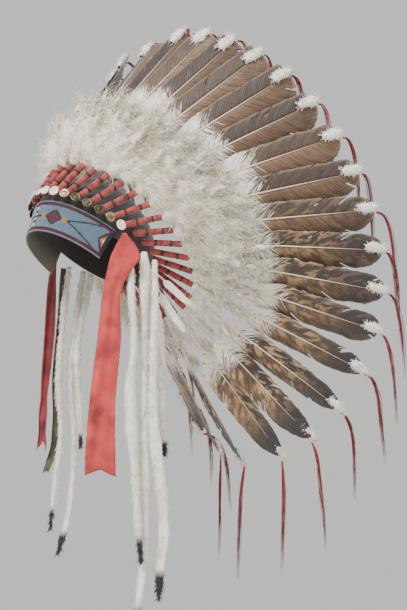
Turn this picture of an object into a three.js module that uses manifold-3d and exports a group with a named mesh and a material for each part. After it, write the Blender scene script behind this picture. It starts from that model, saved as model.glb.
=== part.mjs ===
// Flared feather headdress, worn. Millimetres, +Z up, the brow towards -Y, the wearer's left is +X.
// The origin is where the top of the cap's hollow sits on the head.
import * as THREE from 'three';
import Module from 'manifold-3d';

const wasm = await Module();
wasm.setup();

// ---- driving sizes ----
const RIM_TILT = 28;          // degrees the rim leans from level, brow high and nape low
const RIM_LONG = 113.4;       // half of the feather-base line, brow to nape, in its own plane
const RIM_SIDE = 80;          // half of it, side to side
const CAP_INSET = 7.5;        // cap's outer face inside the feather-base line
const CAP_WALL = 2.5;
const CAP_HIGH = 84;          // dome above the rim plane
const CAP_SKIRT = 20;         // felt below the rim plane
const CAP_FOOT = 0.985;       // the skirt's edge draws in to this share of the rim
const SIDE_COUNT = 16;        // feathers down each side, beside the one at the brow
const PITCH = 180 / (SIDE_COUNT + 0.5);
const RISE_KEYS = [54, 40, 13, -17, -48];   // degrees above level, brow to nape
const SPLAY = 36;             // most that a feather stands out sideways, degrees
const SPLAY_FRONT = 0.4;      // how quickly the splay grows behind the brow
const SPLAY_BACK = 0.7;       // and how it closes at the nape
const RIGHT_KEYS = [1, 1, 1, 1.15, 1.6];    // the right side's lower feathers stand wider
const LENGTH_KEYS = [0.95, 1, 1, 1, 0.98];  // feather length, brow to nape, against the longest
const LOUVRE = 13;            // degrees each vane is turned about its quill
const WRAP_LENGTH = 70;
const WRAP_RADIUS = 4.9;
const VANE_HALF = 28;
const VANE_THICK = 1.6;
const VANE_END = 338;         // where a vane's end starts to draw in, from the feather's foot
const FLUFF_END = 379;        // end of the white fluff at the tip
const LOW_FROM = 12;          // feathers past this one grow narrower towards the nape
const LOCK_FALL = 148;        // how far a horsehair lock falls below the fluff
const LOCK_REACH = [24, 31];  // how far a lock runs on past the fluff, in turn
const LOCK_BEHIND = [18, 32, 46];   // how far inside the fan each lock falls, in turn
const FRONT_LOCK = { fall: 84, reach: 14, behind: -22 };   // the one that falls over the outer side
const LOCK_RADIUS = 2.1;
const LOCK_END = 0.6;         // its radius at the end
const FEATHER_SIDES = 6;
const BUTTON_SPAN = 8;        // buttons run to this feather on each side
const BUTTON_RADIUS = 8.2;
const BUTTON_SMALL = 7.2;     // the closer ones at the brow
const BUTTON_THICK = 2.2;
const BUTTON_OUT = 7.0;       // button's middle outside the feather-base line
const BUTTON_UNDER = 1;       // its middle below the feather's foot, and how much more with each feather squared
const BUTTON_SINK = 0.105;
const BUTTON_GROW = 0.4;      // radius gained with each feather back from the brow
const THONG_RADIUS = 0.9;
const RIBBON_TURN = THREE.MathUtils.degToRad(25);   // ribbons hang turned a little to the front
const BAND_HIGH = 51;
const BAND_THICK = 2.8;
const BAND_DROP = 12;         // band's top edge below the feather-base line
const BAND_SWEEP = 85;        // degrees each side of the brow
const BAND_TAPER = 9;         // how far its lower edge comes in
const BAND_GAP = 0.4;         // clear of the felt
const NOTCH_SHARE = 0.6;      // share of a ribbon's half width that its V notch opens to

const rad = THREE.MathUtils.degToRad;
const V = (x, y, z) => new THREE.Vector3(x, y, z);
const tilt = rad(RIM_TILT);
const FORE = V(0, -Math.cos(tilt), Math.sin(tilt));
const LEFT = V(1, 0, 0);
const UP = V(0, Math.sin(tilt), Math.cos(tilt));

// The highest point of the hollow, seen from the rim's middle.
const hollowLong = RIM_LONG - CAP_INSET - CAP_WALL;
const hollowHigh = CAP_HIGH - CAP_WALL;
const crown = Math.hypot(hollowLong * Math.sin(tilt), hollowHigh * Math.cos(tilt));
const SEAT = FORE.clone().multiplyScalar(hollowLong ** 2 * Math.sin(tilt) / crown)
  .addScaledVector(UP, hollowHigh ** 2 * Math.cos(tilt) / crown);

const mix = (a, b, t) => a + (b - a) * t;

// A smooth curve through evenly spaced values.
function through(keys, t) {
  const x = Math.min(Math.max(t, 0), 1) * (keys.length - 1);
  const i = Math.min(Math.floor(x), keys.length - 2);
  const at = (n) => keys[Math.min(Math.max(n, 0), keys.length - 1)];
  const f = x - i;
  const [p, q, r, s] = [at(i - 1), at(i), at(i + 1), at(i + 2)];
  return q + 0.5 * f * (r - p + f * (2 * p - 5 * q + 4 * r - s + f * (3 * (q - r) + s - p)));
}

// A point by its angle round the rim, its distance out from the base line and its height above the rim plane.
function rimPoint(angle, out, high) {
  const a = rad(angle);
  return V(0, 0, 0).addScaledVector(LEFT, (RIM_SIDE + out) * Math.sin(a))
    .addScaledVector(FORE, (RIM_LONG + out) * Math.cos(a)).addScaledVector(UP, high).sub(SEAT);
}

function rimOut(angle) {
  const a = rad(angle);
  return V(0, 0, 0).addScaledVector(LEFT, Math.sin(a) / RIM_SIDE)
    .addScaledVector(FORE, Math.cos(a) / RIM_LONG).normalize();
}

// ---- solids ----
function solid(points, faces) {
  const vertProperties = new Float32Array(points.flatMap((p) => [p.x, p.y, p.z]));
  const made = new wasm.Manifold(new wasm.Mesh({ numProp: 3, vertProperties, triVerts: new Uint32Array(faces) }));
  if (made.volume() >= 0) return made;
  const turned = [];
  for (let i = 0; i < faces.length; i += 3) turned.push(faces[i], faces[i + 2], faces[i + 1]);
  return new wasm.Manifold(new wasm.Mesh({ numProp: 3, vertProperties, triVerts: new Uint32Array(turned) }));
}

// A closed skin over rings of equal point counts, its ends filled as flat fans.
function loft(rings) {
  const n = rings[0].length;
  const points = rings.flat();
  const faces = [];
  for (let i = 0; i + 1 < rings.length; i++) {
    for (let j = 0; j < n; j++) {
      const [a, b] = [i * n + j, i * n + (j + 1) % n];
      faces.push(a, b, b + n, a, b + n, a + n);
    }
  }
  const last = (rings.length - 1) * n;
  for (let j = 1; j + 1 < n; j++) faces.push(0, j + 1, j, last, last + j, last + j + 1);
  return solid(points, faces);
}

// An oval ring of n points about a middle, on two unit directions.
function oval(middle, across, over, halfWide, halfThick, n) {
  return Array.from({ length: n }, (_, i) => {
    const a = 2 * Math.PI * i / n;
    return middle.clone().addScaledVector(across, halfWide * Math.cos(a))
      .addScaledVector(over, halfThick * Math.sin(a));
  });
}

// A round tapered strand along a path of [point, radius].
function strand(path, sides) {
  let across = V(0.31, 0.17, 0.93);
  return loft(path.map(([p, r], i) => {
    const before = path[Math.max(i - 1, 0)][0];
    const after = path[Math.min(i + 1, path.length - 1)][0];
    const along = after.clone().sub(before).normalize();
    across = across.clone().addScaledVector(along, -across.dot(along)).normalize();
    return oval(p, across, along.clone().cross(across), r, r, sides);
  }));
}

// A flat strip along a path of [point, half width], with its width direction and thickness direction given.
function strip(path, across, over, thick) {
  return loft(path.map(([p, half]) => [[-1, -1], [1, -1], [1, 1], [-1, 1]].map(([s, t]) =>
    p.clone().addScaledVector(across, s * half).addScaledVector(over, t * thick / 2))));
}

function fuse(parts) {
  return parts.reduce((sum, part) => sum.add(part));
}

function mesh(name, body, look) {
  const data = body.getMesh();
  const geometry = new THREE.BufferGeometry();
  geometry.setAttribute('position', new THREE.BufferAttribute(new Float32Array(data.vertProperties), 3));
  geometry.setIndex(Array.from(data.triVerts));
  geometry.computeVertexNormals();
  const made = new THREE.Mesh(geometry, look);
  made.name = name;
  return made;
}

// ---- feathers ----
// Where feather k of one side stands: its foot, its direction, its width direction and its outward face.
function standOf(k, side) {
  const ray = (i) => {
    const angle = i * PITCH;
    const rise = rad(through(RISE_KEYS, i / SIDE_COUNT));
    const power = angle < 90 ? SPLAY_FRONT : SPLAY_BACK;
    const wider = side < 0 ? through(RIGHT_KEYS, i / SIDE_COUNT) : 1;
    const splay = rad(SPLAY * wider * Math.max(Math.sin(rad(angle)), 0) ** power);
    return V(Math.cos(rise) * Math.sin(splay), Math.cos(rise) * Math.cos(splay), Math.sin(rise));
  };
  const foot = rimPoint(k * PITCH, 0, 0);
  const along = ray(k);
  const step = 0.5;
  const spread = k === 0 ? V(1, 0, 0)
    : rimPoint((k + step) * PITCH, 0, 0).addScaledVector(ray(Math.min(k + step, SIDE_COUNT)), 250)
      .sub(rimPoint((k - step) * PITCH, 0, 0).addScaledVector(ray(k - step), 250));
  const flat = spread.addScaledVector(along, -spread.dot(along)).normalize();
  const face = flat.clone().cross(along).normalize();
  if (face.dot(rimOut(k * PITCH)) < 0) face.negate();
  const turn = k === 0 ? 0 : rad(LOUVRE);
  const across = flat.clone().multiplyScalar(Math.cos(turn)).addScaledVector(face, -Math.sin(turn));
  const over = flat.clone().multiplyScalar(Math.sin(turn)).addScaledVector(face, Math.cos(turn));
  for (const v of [foot, along, across, over, face]) v.x *= side;
  return { foot, along, across, over, face };
}

// A distance up the feather, with the part past the wrap scaled to this feather's length.
const stretched = (k, u) =>
  u > WRAP_LENGTH ? WRAP_LENGTH + (u - WRAP_LENGTH) * through(LENGTH_KEYS, k / SIDE_COUNT) : u;

// Rows of [distance from the foot, half width, half thickness]: the wrapped quill with its ties, the down,
// the vane and the tip fluff, in one skin.
function featherRows(k) {
  const low = Math.max(k - LOW_FROM, 0) / (SIDE_COUNT - LOW_FROM);
  const r = WRAP_RADIUS;
  const wide = VANE_HALF * (1 - 0.2 * low);
  const fluff = 1 - 0.15 * low;
  return [[0, r * 0.85, r * 0.85], [19, r, r], [23, r * 0.84, r * 0.84], [43, r, r], [47, r * 0.84, r * 0.84],
    [WRAP_LENGTH, r * 0.95, r * 0.95], [85, 9.5, 7.5], [118, 12.5, 9], [150, 14, 6.5], [185, wide * 0.74, 2],
    [220, wide * 0.95, VANE_THICK / 2], [300, wide, VANE_THICK / 2], [VANE_END, wide * 0.82, VANE_THICK / 2],
    [350, 9.5 * fluff, 5.5 * fluff], [366, 9.5 * fluff, 6.5 * fluff], [FLUFF_END, 3, 2.5]]
    .map(([u, w, t]) => [stretched(k, u), w, t]);
}

// The horsehair lock runs on a little past the tip, then falls on the hollow side of the fan.
// One lock, at the left of the brow, is short and falls over the outer side instead.
function lockRings(s, k, side) {
  const start = s.foot.clone().addScaledVector(s.along, stretched(k, FLUFF_END));
  const { fall, reach, behind } = k === 1 && side > 0 ? FRONT_LOCK
    : { fall: LOCK_FALL, reach: LOCK_REACH[k % LOCK_REACH.length], behind: LOCK_BEHIND[k % LOCK_BEHIND.length] };
  const at = (w) => {
    const p = start.clone().addScaledVector(s.along, reach * (1 - (1 - w) ** 2))
      .addScaledVector(s.face, -behind * Math.sin(Math.PI * w / 2));
    p.z -= fall * w ** 2;
    return p;
  };
  const steps = 6;
  const hand = Math.sign(s.along.clone().cross(s.across).dot(s.over));
  let wide = s.across;
  return Array.from({ length: steps }, (_, i) => {
    const t = (i + 1) / steps;
    const run = at(t).sub(at(t - 0.05)).normalize();
    wide = wide.clone().addScaledVector(run, -wide.dot(run)).normalize();
    const r = mix(LOCK_RADIUS, LOCK_END, t);
    return oval(at(t), wide, run.clone().cross(wide).multiplyScalar(hand), r, r, FEATHER_SIDES);
  });
}

function feather(k, side) {
  const s = standOf(k, side);
  const body = featherRows(k).map(([u, wide, thick]) =>
    oval(s.foot.clone().addScaledVector(s.along, u), s.across, s.over, wide, thick, FEATHER_SIDES));
  return loft([...body, ...lockRings(s, k, side)]);
}

// ---- cap, band, buttons ----
function cap() {
  const around = 24;
  const rows = 6;
  const shell = (gap, profileRows) => profileRows.map(([r, h]) => [r * (RIM_LONG - gap), r * (RIM_SIDE - gap), h]);
  const profile = (gap, high) => {
    const dome = [];
    for (let i = 1; i <= rows; i++) {
      const a = rad(90 * i / rows);
      dome.push([Math.sin(a), high * Math.cos(a)]);
    }
    dome.push([CAP_FOOT, -CAP_SKIRT]);
    return shell(gap, dome);
  };
  const outer = profile(CAP_INSET, CAP_HIGH);
  const inner = profile(CAP_INSET + CAP_WALL, CAP_HIGH - CAP_WALL).reverse();
  const rings = [...outer, ...inner];
  const at = (long, side, high, j) => {
    const a = 2 * Math.PI * j / around;
    return V(0, 0, 0).addScaledVector(LEFT, side * Math.sin(a)).addScaledVector(FORE, long * Math.cos(a))
      .addScaledVector(UP, high).sub(SEAT);
  };
  const points = rings.flatMap(([l, w, h]) => Array.from({ length: around }, (_, j) => at(l, w, h, j)));
  const top = points.push(at(0, 0, CAP_HIGH, 0)) - 1;
  const under = points.push(at(0, 0, CAP_HIGH - CAP_WALL, 0)) - 1;
  const faces = [];
  const last = (rings.length - 1) * around;
  for (let j = 0; j < around; j++) {
    const next = (j + 1) % around;
    faces.push(top, next, j, under, last + j, last + next);
    for (let i = 0; i + 1 < rings.length; i++) {
      const [a, b] = [i * around + j, i * around + next];
      faces.push(a, b, b + around, a, b + around, a + around);
    }
  }
  return solid(points, faces);
}

function browBand() {
  const steps = 22;
  const near = -CAP_INSET + BAND_GAP;
  return loft(Array.from({ length: steps + 1 }, (_, i) => {
    const angle = mix(-BAND_SWEEP, BAND_SWEEP, i / steps);
    return [[near, -BAND_DROP], [near - BAND_TAPER, -BAND_DROP - BAND_HIGH],
      [near - BAND_TAPER + BAND_THICK, -BAND_DROP - BAND_HIGH], [near + BAND_THICK, -BAND_DROP]]
      .map(([out, high]) => rimPoint(angle, out, high));
  }));
}

// The button at the foot of feather k lies against the outside of its wrap, lower where the feather leans out.
function buttonPlace(k, side) {
  const s = standOf(Math.abs(k), side);
  const out = rimOut(k * PITCH);
  const back = s.along.clone().addScaledVector(out, -s.along.dot(out)).normalize();
  return s.foot.clone().addScaledVector(out, BUTTON_OUT).addScaledVector(back, -BUTTON_UNDER - BUTTON_SINK * k * k);
}

function button(k, middle) {
  const out = rimOut(k * PITCH);
  const across = UP.clone().cross(out).normalize();
  const over = out.clone().cross(across);
  const radius = Math.min(BUTTON_RADIUS, BUTTON_SMALL + BUTTON_GROW * Math.abs(k));
  return loft([-0.5, 0.5].map((t) =>
    oval(middle.clone().addScaledVector(out, t * BUTTON_THICK), across, over, radius, radius, 10)));
}

function buttonString(from, to) {
  const places = [];
  for (let k = from; k <= to; k++) places.push([k, buttonPlace(k, k < 0 ? -1 : 1)]);
  return fuse([strand(places.map(([, p]) => [p, THONG_RADIUS]), 4), ...places.map(([k, p]) => button(k, p))]);
}

// ---- hanging drops: points are given from the rim's middle, left, back and up ----
const spot = (left, back, up) => V(left, back, up).sub(SEAT);

function ribbon(side, rows, notch, thick) {
  const across = V(side * Math.sin(RIBBON_TURN), Math.cos(RIBBON_TURN), 0);
  const over = V(side * Math.cos(RIBBON_TURN), -Math.sin(RIBBON_TURN), 0);
  const body = strip(rows.map(([left, back, up, half]) => [spot(side * left, back, up), half]), across, over, thick);
  const [left, back, up, half] = rows[rows.length - 1];
  const end = spot(side * left, back, up);
  const cut = loft([-1, 1].map((t) => [[NOTCH_SHARE, -1], [0, notch], [-NOTCH_SHARE, -1]].map(([w, z]) =>
    end.clone().addScaledVector(across, w * half).addScaledVector(over, t * half).add(V(0, 0, z)))));
  return body.subtract(cut);
}

function ermine(side, rows) {
  return loft(rows.map(([left, back, up, wide, thick]) =>
    oval(spot(side * left, back, up), V(0, 1, 0), V(1, 0, 0), wide, thick, 6)));
}

function dropFeather(side, foot, tip, half) {
  const from = spot(side * foot[0], foot[1], foot[2]);
  const to = spot(side * tip[0], tip[1], tip[2]);
  const along = to.clone().sub(from);
  const length = along.length();
  along.normalize();
  const over = V(side, 0, 0).addScaledVector(along, -side * along.x).normalize();
  const across = along.clone().cross(over);
  const rows = [[0, 1.3, 1.3], [0.16, 1.5, 1.3], [0.3, half * 0.7, 1.2], [0.6, half, 1.1], [0.88, half * 0.7, 0.9],
    [1, 1.5, 0.8]];
  return loft(rows.map(([t, wide, thick]) =>
    oval(from.clone().addScaledVector(along, t * length), across, over, wide, thick, 6)));
}

// ---- colours ----
const look = (color, roughness, metalness = 0) => new THREE.MeshStandardMaterial({ color, roughness, metalness });
const FELT = look(0x26211e, 0.95);
const BEADS = look(0x8fa9b5, 0.4);
const FEATHER = look(0x6e5b4f, 0.75);
const SHELL = look(0xe9e4d6, 0.35);
const CLOTH = look(0xc9504c, 0.85);
const OLIVE = look(0x4a4632, 0.85);
const FUR = look(0xefeae0, 0.9);
const PALE = look(0xb39a74, 0.8);

const headdress = new THREE.Group();
headdress.name = 'feathered_headdress';
const add = (name, body, material) => headdress.add(mesh(name, body, material));

add('cap', cap(), FELT);
add('brow_band', browBand(), BEADS);
add('feather_brow', feather(0, 1), FEATHER);
for (const [word, side] of [['left', 1], ['right', -1]]) {
  for (let k = 1; k <= SIDE_COUNT; k++) {
    add(`feather_${word}_${String(k).padStart(2, '0')}`, feather(k, side), FEATHER);
  }
}
add('buttons', buttonString(-BUTTON_SPAN, BUTTON_SPAN), SHELL);

add('ribbon_left', ribbon(1, [[95, -12, -14, 3], [95, -10, -49, 22], [92, -19, -72, 18], [90, -26, -91, 15],
  [90, -34, -176, 18], [90, -46, -286, 20], [90, -48, -336, 22], [90, -48, -382, 23]], 10, 2.6), CLOTH);
add('ribbon_right', ribbon(-1, [[95, -12, -14, 3], [92, -20, -60, 12], [90, -28, -180, 10], [88, -34, -262, 6],
  [88, -34, -326, 7]], 16, 1.4), CLOTH);
add('ribbon_right_dark', strip([[spot(-98, 6, -30), 5], [spot(-100, -4, -200), 6], [spot(-98, -9, -330), 5],
  [spot(-98, -20, -359), 4]], V(0, 1, 0), V(1, 0, 0), 1.4), OLIVE);
add('ermine_left_1', ermine(1, [[88, 6, -34, 4, 4], [92, 3, -96, 7.5, 5.5], [92, 9, -188, 6.5, 5],
  [92, 3, -238, 9.5, 6], [92, 7, -320, 10, 6], [92, 12, -365, 9, 5.5], [92, 21, -467, 8, 5],
  [92, 25, -505, 3, 3]]), FUR);
add('ermine_left_2', ermine(1, [[82, 34, -34, 5, 4], [84, 34, -64, 11, 5.5], [84, 36, -166, 10, 5.5],
  [84, 36, -323, 8.5, 5.5], [80, 38, -414, 8, 5], [80, 37, -514, 7, 5], [80, 27, -571, 6, 5],
  [80, 16, -611, 1.5, 1.5]]), FUR);
add('ermine_left_3', ermine(1, [[90, 48, -46, 4, 3.5], [97, 44, -100, 6, 4], [97, 41, -250, 8, 5.5],
  [97, 46, -325, 10, 6], [97, 60, -414, 9, 6], [97, 62, -470, 9, 5.5], [97, 56, -514, 9, 5.5],
  [97, 54, -557, 2, 2]]), FUR);
add('ermine_left_4', ermine(1, [[70, 50, -50, 4, 3.5], [72, 70, -200, 6, 4], [72, 80, -310, 6.5, 4],
  [72, 81, -342, 3, 3]]), FUR);
add('ermine_right_1', ermine(-1, [[86, 8, -30, 4, 4], [84, -3, -120, 7, 4.5], [84, -9, -220, 6.5, 4.5],
  [84, -3, -292, 5.5, 4], [84, -14, -393, 5, 4], [84, -20, -447, 1.5, 1.5]]), FUR);
add('ermine_right_2', ermine(-1, [[84, 34, -34, 5, 4], [92, 20, -215, 9, 5], [92, 27, -312, 7, 5],
  [92, 23, -387, 8, 5], [92, 16, -429, 8, 4.5], [92, 6, -464, 6, 4], [92, 0, -484, 1.5, 1.5]]), FUR);
add('ermine_right_3', ermine(-1, [[76, 44, -40, 5, 4], [74, 18, -180, 7, 4.5], [74, 24, -250, 6, 4],
  [74, 28, -318, 2, 2]]), FUR);
add('drop_feather_1', dropFeather(1, [76, 60, -80], [100, 100, -154], 7), PALE);
add('drop_feather_2', dropFeather(1, [72, 66, -62], [104, 112, -112], 7), PALE);
add('drop_feather_3', dropFeather(1, [80, 60, -96], [86, 72, -212], 6), PALE);

export default headdress;
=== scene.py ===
import math

import bpy
import numpy as np
from bpy.props import FloatProperty, FloatVectorProperty, IntProperty, PointerProperty
from bpy.types import Operator, Panel, PropertyGroup
from mathutils import Matrix, Vector


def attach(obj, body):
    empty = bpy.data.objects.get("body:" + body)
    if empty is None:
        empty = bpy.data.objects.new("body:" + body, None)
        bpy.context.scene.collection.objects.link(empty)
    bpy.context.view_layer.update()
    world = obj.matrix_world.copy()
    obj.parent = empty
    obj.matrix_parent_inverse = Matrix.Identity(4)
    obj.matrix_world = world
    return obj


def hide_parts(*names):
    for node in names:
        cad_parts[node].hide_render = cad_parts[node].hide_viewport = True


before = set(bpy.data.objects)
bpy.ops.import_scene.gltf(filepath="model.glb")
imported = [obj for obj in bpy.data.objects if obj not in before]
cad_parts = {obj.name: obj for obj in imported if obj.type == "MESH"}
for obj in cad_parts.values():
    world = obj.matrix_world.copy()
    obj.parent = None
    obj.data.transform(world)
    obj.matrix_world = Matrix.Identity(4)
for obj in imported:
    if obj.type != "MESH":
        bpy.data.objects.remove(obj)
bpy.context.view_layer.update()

bl_info = {
    "name": "Feathered headdress",
    "version": (1, 0, 0),
    "blender": (4, 5, 0),
    "location": "View3D > Sidebar > Headdress",
    "description": "Builds a flared feather headdress with its beadwork, ribbons, fur strips and horsehair",
    "category": "Object",
}

MM = 0.001
rng = np.random.default_rng(275)

# ---- the shape the solids share, in millimetres ----
TILT = math.radians(28)
RIM_LONG, RIM_SIDE = 113.4, 80.0
CAP_INSET, CAP_WALL, CAP_HIGH, CAP_SKIRT, CAP_FOOT = 7.5, 2.5, 84.0, 20.0, 0.985
SIDE_COUNT = 16
PITCH = 180 / (SIDE_COUNT + 0.5)
RISE_KEYS = (54, 40, 13, -17, -48)
SPLAY, SPLAY_FRONT, SPLAY_BACK = 36, 0.4, 0.7
RIGHT_KEYS = (1, 1, 1, 1.15, 1.6)
LENGTH_KEYS = (0.95, 1, 1, 1, 0.98)
LOUVRE = math.radians(13)
FLAT_AT = 250        # how far up the quills a feather's width direction is taken
BROW_BACK = 1.5      # how far the brow feather stands behind its neighbours' line
LOW_FROM = 12        # the feathers past this one are the low ones with dark ends
WRAP_LENGTH, FLUFF_END = 70, 379
LEAD_HALF, TRAIL_HALF = 25, 36        # widths of a vane on either side of its middle line
LOCK_FALL, LOCK_REACH, LOCK_BEHIND = 148, (24, 31), (18, 32, 46)
FRONT_LOCK = (84, 14, -22)
BUTTON_OUT, BUTTON_SPAN, BUTTON_UNDER, BUTTON_SINK = 7.0, 8, 1, 0.105
BUTTON_RADIUS, BUTTON_SMALL, BUTTON_GROW = 8.2, 7.2, 0.4
BAND_HIGH, BAND_DROP, BAND_SWEEP, BAND_TAPER, BAND_GAP = 51, 12, 85, 9, 0.4

FORE = np.array([0, -math.cos(TILT), math.sin(TILT)])
LEFT = np.array([1.0, 0, 0])
UP = np.array([0, math.sin(TILT), math.cos(TILT)])
HOLLOW_LONG = RIM_LONG - CAP_INSET - CAP_WALL
HOLLOW_HIGH = CAP_HIGH - CAP_WALL
CROWN = math.hypot(HOLLOW_LONG * math.sin(TILT), HOLLOW_HIGH * math.cos(TILT))
SEAT = (FORE * HOLLOW_LONG ** 2 * math.sin(TILT) + UP * HOLLOW_HIGH ** 2 * math.cos(TILT)) / CROWN


def unit(v):
    return v / np.linalg.norm(v)


def unit_rows(v):
    """An array of directions, each made one long."""
    return v / (np.linalg.norm(v, axis=-1, keepdims=True) + 1e-12)


def through(keys, t):
    """A smooth curve through evenly spaced values."""
    x = min(max(t, 0), 1) * (len(keys) - 1)
    i = min(int(x), len(keys) - 2)
    f = x - i
    p, q, r, s = (keys[min(max(n, 0), len(keys) - 1)] for n in (i - 1, i, i + 1, i + 2))
    return q + 0.5 * f * (r - p + f * (2 * p - 5 * q + 4 * r - s + f * (3 * (q - r) + s - p)))


def rim_point(angle, out=0.0, high=0.0):
    """Millimetres: by angle round the rim, distance out from the base line, height above the rim plane."""
    a = math.radians(angle)
    return LEFT * (RIM_SIDE + out) * math.sin(a) + FORE * (RIM_LONG + out) * math.cos(a) + UP * high - SEAT


def rim_out(angle):
    a = math.radians(angle)
    return unit(LEFT * math.sin(a) / RIM_SIDE + FORE * math.cos(a) / RIM_LONG)


def ray(i, side):
    angle = i * PITCH
    rise = math.radians(through(RISE_KEYS, i / SIDE_COUNT))
    power = SPLAY_FRONT if angle < 90 else SPLAY_BACK
    wider = through(RIGHT_KEYS, i / SIDE_COUNT) if side < 0 else 1
    splay = math.radians(SPLAY * wider * max(math.sin(math.radians(angle)), 0) ** power)
    return np.array([math.cos(rise) * math.sin(splay), math.cos(rise) * math.cos(splay), math.sin(rise)])


def stand(k, side):
    """Feather k of one side: foot, quill direction, width direction, thickness direction, outward face."""
    foot = rim_point(k * PITCH)
    along = ray(k, side)
    if k == 0:
        flat = np.array([1.0, 0, 0])
    else:
        flat = (rim_point((k + 0.5) * PITCH) + FLAT_AT * ray(min(k + 0.5, SIDE_COUNT), side)
                - rim_point((k - 0.5) * PITCH) - FLAT_AT * ray(k - 0.5, side))
    flat = unit(flat - along * flat.dot(along))
    face = unit(np.cross(flat, along))
    if face.dot(rim_out(k * PITCH)) < 0:
        face = -face
    turn = 0 if k == 0 else LOUVRE
    across = flat * math.cos(turn) - face * math.sin(turn)
    over = flat * math.sin(turn) + face * math.cos(turn)
    mirror = np.array([side, 1, 1])
    foot, along, across, over, face = (v * mirror for v in (foot, along, across, over, face))
    if k == 0:
        foot = foot + np.array([0, BROW_BACK, 0])
    return {"foot": foot, "along": along, "across": across, "over": over, "face": face, "k": k, "side": side,
            "low": max(k - LOW_FROM, 0) / (SIDE_COUNT - LOW_FROM), "longer": through(LENGTH_KEYS, k / SIDE_COUNT)}


def feather_name(s):
    if s["k"] == 0:
        return "brow"
    return ("left" if s["side"] > 0 else "right") + f"_{s['k']:02d}"


STANDS = [stand(0, 1)] + [stand(k, side) for side in (1, -1) for k in range(1, SIDE_COUNT + 1)]


def stretched(s, u):
    """A distance along the quill, with the part past the wrap scaled to this feather's length."""
    u = np.asarray(u, float)
    return np.where(u > WRAP_LENGTH, WRAP_LENGTH + (u - WRAP_LENGTH) * s["longer"], u)


def on_feather(s, u, w, n):
    """Points of a feather's own frame, in metres of the part's frame."""
    u, w, n = np.broadcast_arrays(stretched(s, u), w, n)
    return (s["foot"] + u[..., None] * s["along"] + w[..., None] * s["across"] + n[..., None] * s["over"]) * MM


# ---- colours and nodes ----
def linear(code):
    """An sRGB hex colour as linear values with alpha."""
    values = [int(code[i:i + 2], 16) / 255 for i in (1, 3, 5)]
    return [v / 12.92 if v <= 0.04045 else ((v + 0.055) / 1.055) ** 2.4 for v in values] + [1.0]


RAMP, MATHS, MIX, MAP = "ShaderNodeValToRGB", "ShaderNodeMath", "ShaderNodeMix", "ShaderNodeMapping"
NOISE, WAVE, CELLS, BUMP = "ShaderNodeTexNoise", "ShaderNodeTexWave", "ShaderNodeTexVoronoi", "ShaderNodeBump"
COORD, UVS, NAMED, SPLIT = "ShaderNodeTexCoord", "ShaderNodeUVMap", "ShaderNodeAttribute", "ShaderNodeSeparateXYZ"


def add(tree, kind, *feeds, out=None, stops=None, **named):
    """Adds one node. Inputs are fed in order, or by name when the name has a capital; a feed is a number, a colour
    code or another node's output. Other names are settings, and stops are a colour ramp's. Returns one output."""
    made = tree.nodes.new(kind)
    for key, value in named.items():
        if key[0].islower():
            setattr(made, key, value)
    if stops:
        while len(made.color_ramp.elements) < len(stops):
            made.color_ramp.elements.new(0.5)
        for element, (place, colour) in zip(made.color_ramp.elements, stops):
            element.position = place
            element.color = linear(colour) if isinstance(colour, str) else (colour, colour, colour, 1)
    pairs = list(zip([s for s in made.inputs if s.enabled], feeds))
    pairs += [(made.inputs[key.replace("_", " ")], value) for key, value in named.items() if key[0].isupper()]
    for socket, value in pairs:
        if isinstance(value, bpy.types.NodeSocket):
            tree.links.new(value, socket)
        else:
            socket.default_value = linear(value) if isinstance(value, str) else value
    return made.outputs[out] if out else next((s for s in made.outputs if s.enabled), made)


def blank(name, paint, **shader):
    """A material with one principled shader. paint, given the node tree, builds its colour and its bump's height and
    returns them with the bump's strength and depth in metres; a height of None means no bump."""
    material = bpy.data.materials.new(name)
    material.use_nodes = True
    tree = material.node_tree
    tree.nodes.clear()
    colour, height, strength, depth = paint(tree)
    if height is not None:
        shader["Normal"] = add(tree, BUMP, Height=height, Strength=strength, Distance=depth)
    surface = add(tree, "ShaderNodeBsdfPrincipled", Base_Color=colour, **shader)
    add(tree, "ShaderNodeOutputMaterial", Surface=surface)
    return material


# ---- materials ----
PLACE_REACH = 0.4    # metres up a feather at which the attribute place is 1


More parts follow.
